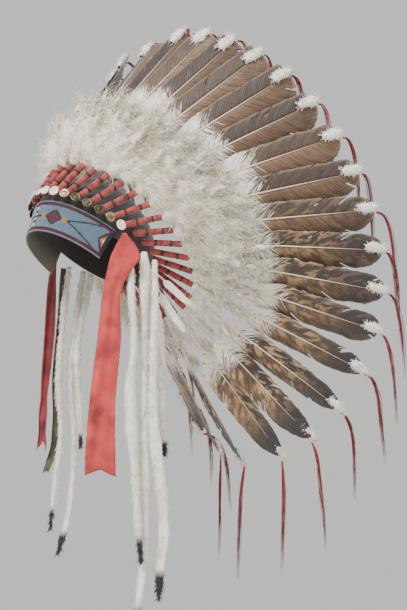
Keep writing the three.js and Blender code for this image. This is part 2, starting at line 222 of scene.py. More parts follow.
def tail_feather_vane():
    """Feather keratin grown as hooked barbs: soft satin brown, its barbs running out from the shaft as fine streaks
    and its leading half crossed by ripples whose dark bands are painted shade. UV x is the distance of a barb's root
    up the shaft in metres and UV y how far out along the barb, minus on the leading half. kind holds lowness, a
    number for the feather and its tone; place holds the distance up the feather over PLACE_REACH."""
    def paint(tree):
        uv = add(tree, UVS, uv_map="UVMap")
        root, out_along = (add(tree, SPLIT, uv, out=axis) for axis in "XY")
        kind = add(tree, NAMED, attribute_name="kind", out="Color")
        low, seed, tone = (add(tree, SPLIT, kind, out=axis) for axis in "XYZ")
        up = add(tree, MATHS, add(tree, SPLIT, add(tree, NAMED, attribute_name="place", out="Color"), out="X"),
                 PLACE_REACH, operation="MULTIPLY")
        lead = add(tree, MATHS, out_along, 0.0, operation="LESS_THAN")
        own = add(tree, "ShaderNodeCombineXYZ", add(tree, MATHS, seed, 7.0, operation="MULTIPLY"), 0.0,
                  add(tree, MATHS, seed, 31.0, operation="MULTIPLY"))
        shifted = add(tree, "ShaderNodeVectorMath", uv, own, operation="ADD")
        # tufts of barbs about 2.5 mm wide, drawn coarser than single barbs so that they show
        tufts = add(tree, NOISE, Vector=add(tree, MAP, Vector=shifted, Scale=(400, 1.5, 1)), Scale=1.0, Detail=3.0,
                    Roughness=0.6, out="Fac")
        patches = add(tree, NOISE, Vector=add(tree, MAP, Vector=shifted, Scale=(62, 2.2, 1)), Scale=1.0, Detail=2.5,
                      Roughness=0.55, out="Fac")                       # blotches about 16 mm across
        # ripples 5 mm apart: their relief goes to the bump, and their dark bands on the leading half are painted
        # shade
        ripple = add(tree, WAVE, Vector=add(tree, MAP, Vector=shifted, Scale=(1, 0.003, 1)), Scale=62.0,
                     Distortion=1.2, Detail=2.0, Detail_Scale=2.0, out="Fac")
        leading = add(tree, RAMP, tone, stops=[(0.0, "#473A32"), (0.6, "#5C4C41"), (1.0, "#75634F")])
        trailing = add(tree, RAMP, tone, stops=[(0.0, "#5F4836"), (0.5, "#785E49"), (1.0, "#967A60")])
        brown = add(tree, MIX, lead, trailing, leading, data_type="RGBA")
        streak = add(tree, RAMP, tufts, stops=[(0.3, "#8C7C72"), (0.5, "#C9BFB7"), (0.72, "#FFFFFF")])
        brown = add(tree, MIX, 0.85, brown, streak, data_type="RGBA", blend_type="MULTIPLY")
        # the light edge of each half, where the vane thins
        edge = add(tree, RAMP, add(tree, MATHS, out_along, operation="ABSOLUTE"), stops=[(0.78, 0.0), (1.0, 0.55)])
        brown = add(tree, MIX, edge, brown, "#A38B74", data_type="RGBA")
        # painted shade: dark bands between the ripples on the leading half, stronger in some blotches
        ripple_shade = add(tree, MATHS, add(tree, MATHS, add(tree, RAMP, ripple, stops=[(0.25, 1.0), (0.7, 0.0)]), lead,
                                    operation="MULTIPLY"),
                   add(tree, RAMP, patches, stops=[(0.36, 0.62), (0.6, 0.2)]), operation="MULTIPLY")
        brown = add(tree, MIX, ripple_shade, brown, "#2B2522", data_type="RGBA")
        # tan and cream blotches, and dark eyes, on the lower feathers
        tan = add(tree, MATHS, add(tree, RAMP, patches, stops=[(0.5, 0.0), (0.6, 1.0)]),
                  add(tree, RAMP, low, stops=[(0.0, 0.0), (0.3, 0.45), (0.8, 0.85)]), operation="MULTIPLY")
        brown = add(tree, MIX, tan, brown, "#B59468", data_type="RGBA")
        eyes = add(tree, MATHS, add(tree, RAMP, patches, stops=[(0.33, 1.0), (0.43, 0.0)]),
                   add(tree, RAMP, low, stops=[(0.0, 0.1), (0.5, 0.75)]), operation="MULTIPLY")
        brown = add(tree, MIX, eyes, brown, "#3A2F27", data_type="RGBA")
        wander = add(tree, MATHS, add(tree, MATHS, patches, 0.5, operation="SUBTRACT"), 0.12, operation="MULTIPLY")
        far = add(tree, MATHS, up, wander, operation="ADD")
        dark = add(tree, MATHS, add(tree, RAMP, far, stops=[(0.275, 0.0), (0.325, 1.0)]),
                   add(tree, RAMP, low, stops=[(0.0, 0.1), (0.3, 0.55), (0.6, 0.92)]), operation="MULTIPLY")
        brown = add(tree, MIX, dark, brown, "#2C292C", data_type="RGBA")
        # white feet with brown specks, ending raggedly
        ragged = add(tree, MATHS, add(tree, MATHS, tufts, 0.5, operation="SUBTRACT"), 0.11, operation="MULTIPLY")
        lower = add(tree, MATHS, low, 0.03, operation="MULTIPLY")
        near = add(tree, MATHS, add(tree, MATHS, up, ragged, operation="ADD"), lower, operation="ADD")
        near = add(tree, MATHS, near, add(tree, MATHS, seed, 0.03, operation="MULTIPLY"), operation="ADD")
        pale = add(tree, RAMP, near, stops=[(0.222, 1.0), (0.236, 0.0)])
        specks = add(tree, NOISE, Vector=add(tree, MAP, Vector=shifted, Scale=(300, 7, 1)), Scale=1.0, Detail=1.0,
                     out="Fac")
        white = add(tree, RAMP, specks, stops=[(0.3, "#6B5A4C"), (0.38, "#E4DACA"), (0.7, "#F1ECE2")])
        colour = add(tree, MIX, pale, brown, white, data_type="RGBA")
        height = add(tree, MATHS, add(tree, MATHS, tufts, 2.0, operation="MULTIPLY"), ripple, operation="ADD")
        return colour, height, 0.4, 0.0007
    return blank("hooked barb feather vane", paint, Roughness=0.58, Sheen_Weight=0.2, Specular_IOR_Level=0.4)


def quill_shaft():
    """Solid horn-like keratin, smooth enough to take a long highlight: cream at the foot, browner towards the tip."""
    def paint(tree):
        up = add(tree, SPLIT, add(tree, UVS, uv_map="UVMap"), out="X")
        return add(tree, RAMP, up, stops=[(0.15, "#F0E4CF"), (0.27, "#E0CDB0"), (0.34, "#A58B6C")]), None, 0, 0
    return blank("smooth horn quill", paint, Roughness=0.36, Coat_Weight=0.15)


def stroud_wrap():
    """Stroud, a wool cloth fulled until its weave closes and dyed red: matt and mottled, with pale flecks on
    its nap that are partly wear and partly painted highlight."""
    def paint(tree):
        where = add(tree, COORD, out="Object")
        mottle = add(tree, NOISE, Vector=where, Scale=110.0, Detail=4.0, out="Fac")
        nap = add(tree, NOISE, Vector=where, Scale=800.0, Detail=3.0, Roughness=0.7, out="Fac")
        colour = add(tree, RAMP, mottle, stops=[(0.3, "#4A1614"), (0.46, "#8A2A25"), (0.62, "#A03A31"),
                                                (0.8, "#B9604F")])
        # pale flecks on the nap's peaks: partly wear, partly painted highlight
        wear_and_painted_highlight = add(tree, RAMP, nap, stops=[(0.55, 0.0), (0.8, 0.45)])
        return add(tree, MIX, wear_and_painted_highlight, colour, "#D39383", data_type="RGBA"), nap, 0.5, 0.0008
    return blank("fulled red stroud wool", paint, Roughness=0.9, Sheen_Weight=0.5, Sheen_Roughness=0.5)


def sinew_thread():
    """Sinew split and twisted into thread: dark, slightly waxy, its turns showing as fine ridges."""
    def paint(tree):
        turns = add(tree, NOISE, Vector=add(tree, COORD, out="Object"), Scale=1400.0, Detail=2.0, out="Fac")
        return add(tree, RAMP, turns, stops=[(0.3, "#1D1514"), (0.75, "#4A332C")]), turns, 0.5, 0.0004
    return blank("twisted dark sinew", paint, Roughness=0.6)


def loose_down(name, root, body, tip, stain):
    """Down: barbs with no hooks, so each strand scatters light by itself; darker and tan at the root, which is
    painted shade for strands lying inside the mass, and nearly white at the tip. UV x runs along a strand and UV y
    is a number for the strand."""
    def paint(tree):
        uv = add(tree, UVS, uv_map="UVMap")
        along, number = (add(tree, SPLIT, uv, out=axis) for axis in "XY")
        patch = add(tree, NOISE, Vector=add(tree, COORD, out="Object"), Scale=26.0, Detail=3.0, out="Fac")
        # painted shade: each strand darker and tan towards its root, where it lies inside the mass
        colour = add(tree, RAMP, along, stops=[(0.0, root), (0.4, body), (1.0, tip)])
        stained = add(tree, RAMP, patch, stops=[(0.52, 0.0), (0.7, 0.55)])
        colour = add(tree, MIX, stained, colour, stain, data_type="RGBA")
        shade = add(tree, RAMP, number, stops=[(0.0, "#FFFFFF"), (1.0, "#D8CDBB")])
        return add(tree, MIX, 0.8, colour, shade, data_type="RGBA", blend_type="MULTIPLY"), None, 0, 0
    return blank(name, paint, Roughness=0.9, Sheen_Weight=0.3, Specular_IOR_Level=0.2)


def matted_down():
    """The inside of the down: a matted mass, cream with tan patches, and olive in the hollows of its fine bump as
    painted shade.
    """
    def paint(tree):
        where = add(tree, COORD, out="Object")
        patch = add(tree, NOISE, Vector=where, Scale=26.0, Detail=3.0, out="Fac")
        fine = add(tree, NOISE, Vector=where, Scale=380.0, Detail=4.0, Roughness=0.7, out="Fac")
        colour = add(tree, RAMP, patch, stops=[(0.3, "#F2EDE1"), (0.55, "#E8DFCC"), (0.74, "#D0BC96")])
        # painted shade: olive in the hollows of the fine bump
        recess_shade = add(tree, RAMP, fine, stops=[(0.3, 0.55), (0.5, 0.0)])
        return add(tree, MIX, recess_shade, colour, "#A69B7E", data_type="RGBA"), fine, 0.8, 0.002
    return blank("matted under down", paint, Roughness=1.0, Sheen_Weight=0.5, Specular_IOR_Level=0.1)


def dyed_horsehair():
    """Horsehair dyed red: smooth single hairs with a long highlight, browner towards the worn ends."""
    def paint(tree):
        uv = add(tree, UVS, uv_map="UVMap")
        along, number = (add(tree, SPLIT, uv, out=axis) for axis in "XY")
        colour = add(tree, RAMP, along, stops=[(0.0, "#96262C"), (0.5, "#742329"), (1.0, "#47191D")])
        other = add(tree, RAMP, number, stops=[(0.0, 0.0), (1.0, 0.5)])
        return add(tree, MIX, other, colour, "#A8443D", data_type="RGBA"), None, 0, 0
    return blank("dyed horsehair", paint, Roughness=0.42, Specular_IOR_Level=0.55)


def cut_shell():
    """Shell cut to discs and polished: cool white, with cloudy growth bands under a thin lustre."""
    def paint(tree):
        cloud = add(tree, NOISE, Vector=add(tree, COORD, out="Object"), Scale=150.0, Detail=3.0, Distortion=1.5,
                    out="Fac")
        return add(tree, RAMP, cloud, stops=[(0.3, "#C9C1AE"), (0.5, "#EDE8DB"), (0.8, "#F8F6F0")]), None, 0, 0
    return blank("polished cut shell", paint, Roughness=0.28, Coat_Weight=0.35, Coat_Roughness=0.2)


def stamped_brass(name, dark, light, rough):
    """Brass stamped to domes and worn by handling: bright where it rubs, brown in the hollows."""
    def paint(tree):
        tarnish = add(tree, NOISE, Vector=add(tree, COORD, out="Object"), Scale=230.0, Detail=5.0, out="Fac")
        return add(tree, RAMP, tarnish, stops=[(0.35, dark), (0.65, light)]), tarnish, 0.2, 0.0005
    return blank(name, paint, Metallic=1.0, Roughness=rough)


def seed_beads():
    """Glass drawn to a thin tube and cut to beads: opaque, glossy, each catching its own point of light. Each bead's
    colour is in the attribute bead."""
    def paint(tree):
        return add(tree, NAMED, attribute_name="bead", out="Color"), None, 0, 0
    return blank("drawn glass seed beads", paint, Roughness=0.25, IOR=1.52, Coat_Weight=0.25)


def smoked_hide():
    """Hide tanned over smoke, under and round the beads: matt, grey-tan, with a fine pebbled grain."""
    def paint(tree):
        grain = add(tree, CELLS, Vector=add(tree, COORD, out="Object"), Scale=800.0, out="Distance")
        return add(tree, RAMP, grain, stops=[(0.0, "#4C4A48"), (0.6, "#736C64")]), grain, 0.4, 0.0004
    return blank("smoked hide", paint, Roughness=0.85)


def pressed_felt():
    """Wool felt pressed on a block, nearly black: no weave, only a tangled nap that catches a little light."""
    def paint(tree):
        where = add(tree, COORD, out="Object")
        nap = add(tree, NOISE, Vector=where, Scale=700.0, Detail=5.0, Roughness=0.75, out="Fac")
        wear = add(tree, NOISE, Vector=where, Scale=22.0, Detail=3.0, out="Fac")
        colour = add(tree, RAMP, nap, stops=[(0.3, "#1C1816"), (0.7, "#3A332E")])
        return add(tree, MIX, add(tree, RAMP, wear, stops=[(0.4, 0.0), (0.7, 0.6)]), colour, "#2D2521",
                   data_type="RGBA"), nap, 0.6, 0.001
    return blank("pressed wool felt", paint, Roughness=0.97, Sheen_Weight=0.35, Sheen_Roughness=0.6)


def plain_ribbon(name, shade, body, light):
    """Plain-woven cotton: threads drawn 1.6 mm apart, coarser than real so that they show, faded where it creased.
    UV is metres across and along."""
    def paint(tree):
        uv = add(tree, UVS, uv_map="UVMap")
        fade = add(tree, NOISE, Vector=uv, Scale=30.0, Detail=4.0, out="Fac")
        warp, weft = (add(tree, WAVE, Vector=uv, Scale=195.0, bands_direction=axis, out="Fac") for axis in "XY")
        weave = add(tree, MATHS, warp, weft, operation="MULTIPLY")
        colour = add(tree, RAMP, fade, stops=[(0.3, shade), (0.5, body), (0.75, light)])
        colour = add(tree, MIX, add(tree, RAMP, weave, stops=[(0.0, 0.0), (1.0, 0.18)]), colour, shade,
                     data_type="RGBA")
        return colour, add(tree, MATHS, weave, fade, operation="ADD"), 0.3, 0.0006
    return blank(name, paint, Roughness=0.8, Sheen_Weight=0.3)


def ermine_fur():
    """Winter weasel skin with its fur on: short, dense, cream white, yellower at the root, the tail tip black. UV x
    runs down the whole strip and UV y is a number for the hair."""
    def paint(tree):
        uv = add(tree, UVS, uv_map="UVMap")
        down_strip, number = (add(tree, SPLIT, uv, out=axis) for axis in "XY")
        patch = add(tree, NOISE, Vector=add(tree, COORD, out="Object"), Scale=60.0, Detail=3.0, out="Fac")
        white = add(tree, RAMP, patch, stops=[(0.3, "#F7F4EE"), (0.55, "#EEE8DC"), (0.75, "#D5CBB2")])
        # painted shade: each hair darkened by its own random amount towards grey-tan
        shade = add(tree, RAMP, number, stops=[(0.0, 0.0), (1.0, 0.2)])
        white = add(tree, MIX, shade, white, "#A79A7C", data_type="RGBA")
        tail = add(tree, RAMP, down_strip, stops=[(0.91, 0.0), (0.935, 1.0)])
        return add(tree, MIX, tail, white, "#29262A", data_type="RGBA"), None, 0, 0
    return blank("dressed ermine fur", paint, Roughness=0.85, Sheen_Weight=0.25, Specular_IOR_Level=0.25)


def floor_paint():
    """Matt emulsion rolled on a studio floor: pale grey, with the faintest roller texture."""
    def paint(tree):
        roller = add(tree, NOISE, Vector=add(tree, COORD, out="Object"), Scale=40.0, Detail=3.0, out="Fac")
        return add(tree, RAMP, roller, stops=[(0.3, "#CFCDC9"), (0.7, "#D4D2CE")]), None, 0, 0
    return blank("matt floor emulsion", paint, Roughness=0.85)


FINISHES = {
    "vane": tail_feather_vane,
    "shaft": quill_shaft,
    "wrap": stroud_wrap,
    "sinew": sinew_thread,
    # the first colour of each is painted shade at the strands' roots
    "down": lambda: loose_down("cleaned loose down", "#CDBD9A", "#F0EADD", "#FBF9F4", "#DCC7A2"),
    "tuft": lambda: loose_down("white fur tuft", "#DAD3C4", "#F5F2EC", "#FFFFFF", "#E9E2D4"),
    "matted": matted_down,
    "horsehair": dyed_horsehair,
    "shell": cut_shell,
    "brass": lambda: stamped_brass("worn stamped brass", "#6E5F48", "#B5A382", 0.42),
    "tarnished": lambda: stamped_brass("tarnished stamped brass", "#3B352B", "#6F6650", 0.5),
    "beads": seed_beads,
    "hide": smoked_hide,
    "felt": pressed_felt,
    "coral": lambda: plain_ribbon("faded red cotton ribbon", "#7E1D1D", "#B93531", "#CC4B43"),
    "dark_red": lambda: plain_ribbon("dark red cotton ribbon", "#571518", "#86282B", "#983A3A"),
    "olive": lambda: plain_ribbon("olive cotton ribbon", "#33301F", "#4A4632", "#5E5940"),
    "ermine": ermine_fur,
    "floor": floor_paint,
}
MADE = {}


def finish(key):
    """Each material is made once and shared."""
    if key not in MADE:
        MADE[key] = FINISHES[key]()
    return MADE[key]


# ---- meshes from arrays, for what is made of many small things ----
def mesh_piece(name, parts, finishes):
    """One piece from parts, each a dict of points in metres, faces as index arrays, uv, the number of its finish and
    colour attributes."""
    points = np.vstack([p["points"] for p in parts]).astype(np.float32)
    offsets = np.cumsum([0] + [len(p["points"]) for p in parts])
    sets = [(f + o, p.get("finish", 0)) for p, o in zip(parts, offsets) for f in p["faces"] if len(f)]
    loops = np.concatenate([f.ravel() for f, _ in sets]).astype(np.int32)
    sizes = np.concatenate([np.full(len(f), f.shape[1]) for f, _ in sets]).astype(np.int32)
    mesh = bpy.data.meshes.new(name)
    mesh.vertices.add(len(points))
    mesh.vertices.foreach_set("co", points.ravel())
    mesh.loops.add(len(loops))
    mesh.loops.foreach_set("vertex_index", loops)
    mesh.polygons.add(len(sizes))
    mesh.polygons.foreach_set("loop_start", np.concatenate([[0], np.cumsum(sizes)[:-1]]).astype(np.int32))
    numbers = np.concatenate([np.full(len(f), m) for f, m in sets]).astype(np.int32)
    mesh.polygons.foreach_set("material_index", numbers)
    mesh.polygons.foreach_set("use_smooth", np.full(len(sizes), True))
    mesh.update(calc_edges=True)
    uv = np.vstack([p["uv"] if "uv" in p else np.zeros((len(p["points"]), 2)) for p in parts])
    mesh.uv_layers.new(name="UVMap").data.foreach_set("uv", uv.astype(np.float32)[loops].ravel())
    for key in sorted({k for p in parts for k in p.get("paint", {})}):
        colours = np.vstack([np.broadcast_to(p.get("paint", {}).get(key, (0, 0, 0)), (len(p["points"]), 3))
                             for p in parts])
        colours = np.hstack([colours, np.ones((len(colours), 1))]).astype(np.float32)
        mesh.attributes.new(key, "FLOAT_COLOR", "POINT").data.foreach_set("color", colours.ravel())
    for key in finishes:
        mesh.materials.append(finish(key))
    piece = bpy.data.objects.new(name, mesh)
    bpy.context.scene.collection.objects.link(piece)
    return piece


def settle(piece, slot, *nodes):
    """A finished piece rides on the body and stands for the given solids. slot is not used."""
    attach(piece, "root")
    if nodes:
        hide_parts(*nodes)
    return piece


def loft_faces(rings, sides):
    """Quads between rings and a fan at each end, for points laid out ring by ring."""
    i, j = np.meshgrid(np.arange(rings - 1), np.arange(sides), indexing="ij")
    a, b = (i * sides + j).ravel(), (i * sides + (j + 1) % sides).ravel()
    fan = np.arange(1, sides - 1)
    last = (rings - 1) * sides
    return [np.stack([a, b, b + sides, a + sides], axis=1),
            np.vstack([np.stack([fan * 0, fan + 1, fan], axis=1),
                       np.stack([fan * 0 + last, last + fan, last + fan + 1], axis=1)])]


def facing_out(points, faces):
    """The same faces turned round if they enclose a negative volume."""
    total = 0.0
    for f in faces:
        p = points[f]
        for n in range(1, f.shape[1] - 1):
            total += np.einsum("ij,ij->i", p[:, 0], np.cross(p[:, n], p[:, n + 1])).sum()
    return faces if total >= 0 else [f[:, ::-1] for f in faces]


def oval_loft(middles, across, over, wide, thick, sides, finish_number=0):
    """A closed tube with an oval section at each middle; directions and sizes may change along it. UV x runs from
    0 to 1."""
    n = len(middles)
    across, over = (np.broadcast_to(v, (n, 3)) for v in (across, over))
    wide, thick = (np.broadcast_to(v, n)[:, None, None] for v in (wide, thick))
    turn = 2 * np.pi * np.arange(sides) / sides
    points = (np.asarray(middles)[:, None] + across[:, None] * np.cos(turn)[:, None] * wide
              + over[:, None] * np.sin(turn)[:, None] * thick).reshape(-1, 3)
    uv = np.stack(np.broadcast_arrays(np.linspace(0, 1, n)[:, None], (np.arange(sides) / sides)[None]), -1)
    return {"points": points, "faces": facing_out(points, loft_faces(n, sides)), "uv": uv.reshape(-1, 2),
            "finish": finish_number}


STRAND_SIDES = 3


def strands(paths, radii):
    """Closed tapered strands along paths of shape (count, steps, 3) in metres. UV x runs along each strand and UV y
    is a number for it."""
    (count, steps, _), sides = paths.shape, STRAND_SIDES
    run = unit_rows(np.gradient(paths, axis=1))
    guide = np.where(np.abs(run[:, :1, 2:3]) < 0.8, np.array([0, 0, 1.0]), np.array([1.0, 0, 0]))
    first = unit_rows(np.cross(run, np.broadcast_to(guide, run.shape)))
    second = np.cross(run, first)
    turn = 2 * np.pi * np.arange(sides) / sides
    ring = first[:, :, None] * np.cos(turn)[:, None] + second[:, :, None] * np.sin(turn)[:, None]
    points = (paths[:, :, None] + ring * np.broadcast_to(radii, (count, steps))[:, :, None, None]).reshape(-1, 3)
    shift = (np.arange(count) * steps * sides)[:, None, None]
    faces = [(f[None] + shift).reshape(-1, f.shape[1]) for f in loft_faces(steps, sides)]
    t = np.broadcast_to(np.linspace(0, 1, steps)[None, :, None], (count, steps, sides))
    number = np.broadcast_to(rng.random(count)[:, None, None], t.shape)
    return {"points": points, "faces": faces, "uv": np.stack([t, number], axis=-1).reshape(-1, 2)}


def thickened(points, faces, way, thick):
    """A sheet given a thickness along one direction: both faces and the rim between them."""
    way = np.broadcast_to(way, points.shape)
    count = len(points)
    both = np.vstack([points + way * thick / 2, points - way * thick / 2])
    edges = np.concatenate([faces[:, [i, (i + 1) % 4]] for i in range(4)])
    _, where, times = np.unique(np.sort(edges, axis=1), axis=0, return_index=True, return_counts=True)
    rim = edges[where[times == 1]]
    rim = np.stack([rim[:, 1], rim[:, 0], rim[:, 0] + count, rim[:, 1] + count], axis=1)
    return both, facing_out(both, [np.vstack([faces, faces[:, ::-1] + count, rim])])


def smooth_step(x, low, high):
    t = np.clip((np.asarray(x, float) - low) / (high - low), 0, 1)
    return t * t * (3 - 2 * t)


# ---- modelling by hand's tools ----
def pick(piece):
    bpy.ops.object.select_all(action="DESELECT")
    bpy.context.view_layer.objects.active = piece
    piece.select_set(True)


def apply(piece, kind, **settings):
    """Adds a modifier and applies it."""
    pick(piece)
    modifier = piece.modifiers.new(kind.title(), kind)
    for key, value in settings.items():
        setattr(modifier, key, value)
    bpy.ops.object.modifier_apply(modifier=modifier.name)


def turned(name, rows, sides, finishes):
    """A round piece about +Z, made from a disc drawn up row by row: rows are (height, radius) in metres."""
    bpy.ops.object.select_all(action="DESELECT")
    (low, first), radius = rows[0], rows[0][1]
    bpy.ops.mesh.primitive_circle_add(vertices=sides, radius=first, fill_type="NGON", location=(0, 0, low))
    piece = bpy.context.active_object
    piece.name = piece.data.name = name
    bpy.ops.object.mode_set(mode="EDIT")
    bpy.ops.mesh.select_mode(type="FACE")
    bpy.ops.mesh.select_all(action="SELECT")
    for height, wide in rows[1:]:
        bpy.ops.mesh.extrude_region_move(TRANSFORM_OT_translate={"value": (0, 0, height - low)})
        bpy.ops.transform.resize(value=(wide / radius, wide / radius, 1), center_override=(0, 0, height))
        low, radius = height, wide
    bpy.ops.mesh.select_all(action="SELECT")
    bpy.ops.mesh.normals_make_consistent(inside=False)
    bpy.ops.object.mode_set(mode="OBJECT")
    bpy.ops.object.transform_apply(location=True, rotation=True, scale=True)
    bpy.ops.object.shade_smooth_by_angle(angle=math.radians(50))
    for key in finishes:
        piece.data.materials.append(finish(key))
    return piece


def join(pieces, name):
    bpy.ops.object.select_all(action="DESELECT")
    for piece in pieces:
        piece.select_set(True)
    bpy.context.view_layer.objects.active = pieces[0]
    bpy.ops.object.join()
    pieces[0].name = pieces[0].data.name = name
    return pieces[0]


def copied(model, name, x, y, z, middle):
    """A copy of a piece with its own mesh, its axes and middle placed as given, its faces kept facing out."""
    twin = model.copy()
    twin.data = model.data.copy()
    twin.name = twin.data.name = name
    bpy.context.scene.collection.objects.link(twin)
    place = Matrix([[x[i], y[i], z[i], middle[i]] for i in range(3)] + [[0, 0, 0, 1]])
    twin.data.transform(place)
    if place.determinant() < 0:
        twin.data.flip_normals()
    return twin


def dropped(model):
    bpy.data.objects.remove(model, do_unlink=True)


# ---- the feathers ----
def vane_end(k, low):
    """How a feather ends: tip, how far the end reaches back down the edge, how square it is and the half widths."""
    if low > 0:
        return {"tip": 371 - 6 * low, "back": 48 + 28 * low, "square": 1.8,
                "lead": 23 - 4 * low, "trail": 31 - 5 * low}
    if k < 6:
        return {"tip": 373, "back": 15, "square": 3.0, "lead": LEAD_HALF, "trail": TRAIL_HALF}
    return {"tip": 371, "back": 25 + 2 * (k - 6), "square": 2.0, "lead": LEAD_HALF, "trail": TRAIL_HALF}


def vane_half(sign, shape, chance, barbs, steps):
    """The barbs of one half: u along the shaft, w across and n out of its plane, each (barbs, steps + 1), and which
    gaps between barbs are open."""
    wide = shape["lead"] if sign < 0 else shape["trail"]
    q = np.linspace(0, 1, barbs)
    corner = shape["tip"] - (shape["back"] if sign > 0 else shape["back"] * 0.8)
    base = shape["base"]
    end_u = base + 12 + (corner - base - 12) * np.clip(q / 0.8, 0, 1)
    end_w = wide * (0.5 + 0.5 * smooth_step(end_u, base, base + 0.34 * (corner - base)) - 0.06 * smooth_step(
        end_u, base + 0.6 * (corner - base), corner))
    f = np.clip((q - 0.8) / 0.2, 0, 1)
    end_w = np.where(f > 0, end_w * np.cos(f * np.pi / 2) ** (2 / shape["square"]), end_w)
    end_u = end_u + (shape["tip"] - corner) * np.sin(f * np.pi / 2) ** (2 / shape["square"])
    root = np.where(f > 0, 0, end_u - 1.2 * end_w)
    last = root[f == 0][-1]
    root = np.where(f > 0, last + (shape["tip"] - 5 - last) * f ** 0.85, root)
    end_w = end_w * (1 + 0.02 * np.convolve(chance.normal(size=barbs + 6), np.ones(7) / 7, "valid") * 3)
    length = 1 + 0.012 * chance.normal(size=barbs)
    shift = np.zeros(barbs)
    lift = np.zeros(barbs)
    open_from = np.full(barbs - 1, steps)
    for _ in range(chance.integers(*shape["splits"])):
        at = int(chance.integers(barbs // 4, barbs - 4))
        open_from[at] = int(chance.integers(steps // 2, steps))
        reach = int(chance.integers(2, 6))
        gape = chance.uniform(0.2, 1.1)
        for n in range(reach):
            shift[max(at - n, 0)] -= gape * (1 - n / reach)
            shift[min(at + 1 + n, barbs - 1)] += gape * (1 - n / reach)
        lift[max(at - reach, 0):at + 1] += chance.uniform(-0.8, 0.8)
    t = np.linspace(0, 1, steps + 1)[None]
    du = ((end_u - root) * length)[:, None]
    dw = (end_w * length)[:, None]
    bow = 0.3 * t * (1 - t)
    u = root[:, None] + du * t - bow * dw + shift[:, None] * t ** 2
    w = dw * t + bow * du
    out = w / wide
    swell = chance.uniform(0.6, 1.4)
    phase = chance.uniform(0, 6.28)
    n = (-shape["camber"] * (1.5 if sign > 0 else 0.8) * out ** 2 + lift[:, None] * t
         + swell * np.sin(u / 24 + phase) * out ** 2 + 0.35 * np.sin(q * barbs * 0.9 + phase)[:, None] * t)
    return u, sign * w, n, open_from


def feather_parts(place, over, shape, kind, barbs, steps=6, shaft=1.7):
    """A feather's two halves and its shaft. place turns u, w, n in millimetres to points, over is the direction out
    of its plane, and kind is lowness, a number and a tone for its colouring."""
    chance = np.random.default_rng(int(kind[1] * 1e6) + 7)
    parts = []
    for sign in (-1, 1):
        u, w, n, open_from = vane_half(sign, shape, chance, barbs, steps)
        i, j = np.meshgrid(np.arange(barbs - 1), np.arange(steps), indexing="ij")
        kept = j < open_from[:, None]
        a = (i * (steps + 1) + j)[kept]
        quads = np.stack([a, a + 1, a + steps + 2, a + steps + 1], axis=1)
        points, faces = thickened(place(u, w, n).reshape(-1, 3), quads, over, 0.45 * MM)
        t = np.broadcast_to(np.linspace(0, 1, steps + 1)[None] * sign, u.shape)
        uv = np.stack([np.broadcast_to(u[:, :1], u.shape) * MM, t], axis=-1).reshape(-1, 2)
        up = np.stack([u * MM / PLACE_REACH, 0 * u, 0 * u], axis=-1).reshape(-1, 3)
        parts.append({"points": points, "faces": faces, "uv": np.vstack([uv, uv]),
                      "paint": {"kind": kind, "place": np.vstack([up, up])}})
    along = np.linspace(shape["shaft_from"], shape["tip"] - 6, 18)
    thin = 1 - (along - along[0]) / (along[-1] - along[0])
    middles = place(along, 0 * along, 0.25 + 0 * along)
    run = unit(middles[-1] - middles[0])
    side = unit(np.cross(over, run))
    stem = oval_loft(middles, side, over, (0.35 + shaft * thin) * MM, (0.4 + shaft * 0.85 * thin) * MM, 6,
                     finish_number=1)
    stem["uv"][:, 0] = np.repeat(along, 6) * MM
    return parts + [stem]


def shaft_line(u):
    """The shaft lies off the middle of the vane, towards its leading edge."""
    return -4.5 * smooth_step(u, 90, 220)


def ruff_size(s):
    """How full the down stands at a feather: full to the eleventh, then dwindling towards the nape."""
    return 1.0 if s["k"] <= 10 else max(0.3, 1 - 0.17 * (s["k"] - 10))


def ruff_lift(s, u):
    """How far the down stands out in front of the quills; furthest at the brow."""
    return (5 + 15 * math.exp(-(s["k"] / 3.2) ** 2)) * smooth_step(u, 55, 110)


# the lump of down round a quill: distance up the quill, half width, half thickness
RUFF_ROWS = np.array([(60, 6, 5), (70, 13, 10), (92, 17, 14), (122, 18, 14), (152, 15, 10), (176, 10, 6),
                      (190, 3, 2)], float)
TUFT_TAPER = np.array([0.6, 1, 0.85, 0.5, 0.12])
RUFF_VOXEL, RUFF_LUMPS, RUFF_ROUGH = 3.2 * MM, 0.014, 0.009


def ruff_core():
    """The packed down: a lump round each quill with tufts standing out of it, remeshed to one skin."""
    parts = []
    u, wide, thick = RUFF_ROWS.T
    for s in STANDS:
        chance = np.random.default_rng(40 + s["k"] * 2 + (s["side"] > 0))
        size = ruff_size(s)
        middles = on_feather(s, u[0] + (u - u[0]) * (0.6 + 0.4 * size), 0 * u, ruff_lift(s, u))
        parts.append(oval_loft(middles, s["across"], s["over"], wide * size * MM, thick * size * MM, 12))
        for _ in range(int(10 * size)):
            start_u, w, n = chance.uniform(75, 172), chance.uniform(-17, 17), chance.uniform(2, 15) * size
            n = n + float(ruff_lift(s, start_u))
            length, reach = chance.uniform(20, 40), np.linspace(0, 1, 5)
            way = s["along"] + 0.45 * chance.uniform(-1, 1) * s["across"] + chance.uniform(0.05, 0.5) * s["over"]
            start = on_feather(s, start_u, w, n)
            middles = start + np.outer(reach * length * MM, unit(way))
            parts.append(oval_loft(middles, s["across"], s["over"],
                                   chance.uniform(3.5, 6) * TUFT_TAPER * MM,
                                   chance.uniform(3, 4.5) * TUFT_TAPER * MM, 6))
    core = mesh_piece("down_ruff", parts, ["matted"])
    apply(core, "REMESH", mode="VOXEL", voxel_size=RUFF_VOXEL, use_smooth_shade=True)
    lumps = bpy.data.textures.new("down_lumps", "CLOUDS")
    lumps.noise_scale = RUFF_LUMPS
    apply(core, "DISPLACE", texture=lumps, texture_coords="LOCAL", strength=RUFF_ROUGH, mid_level=0.5)
    return core


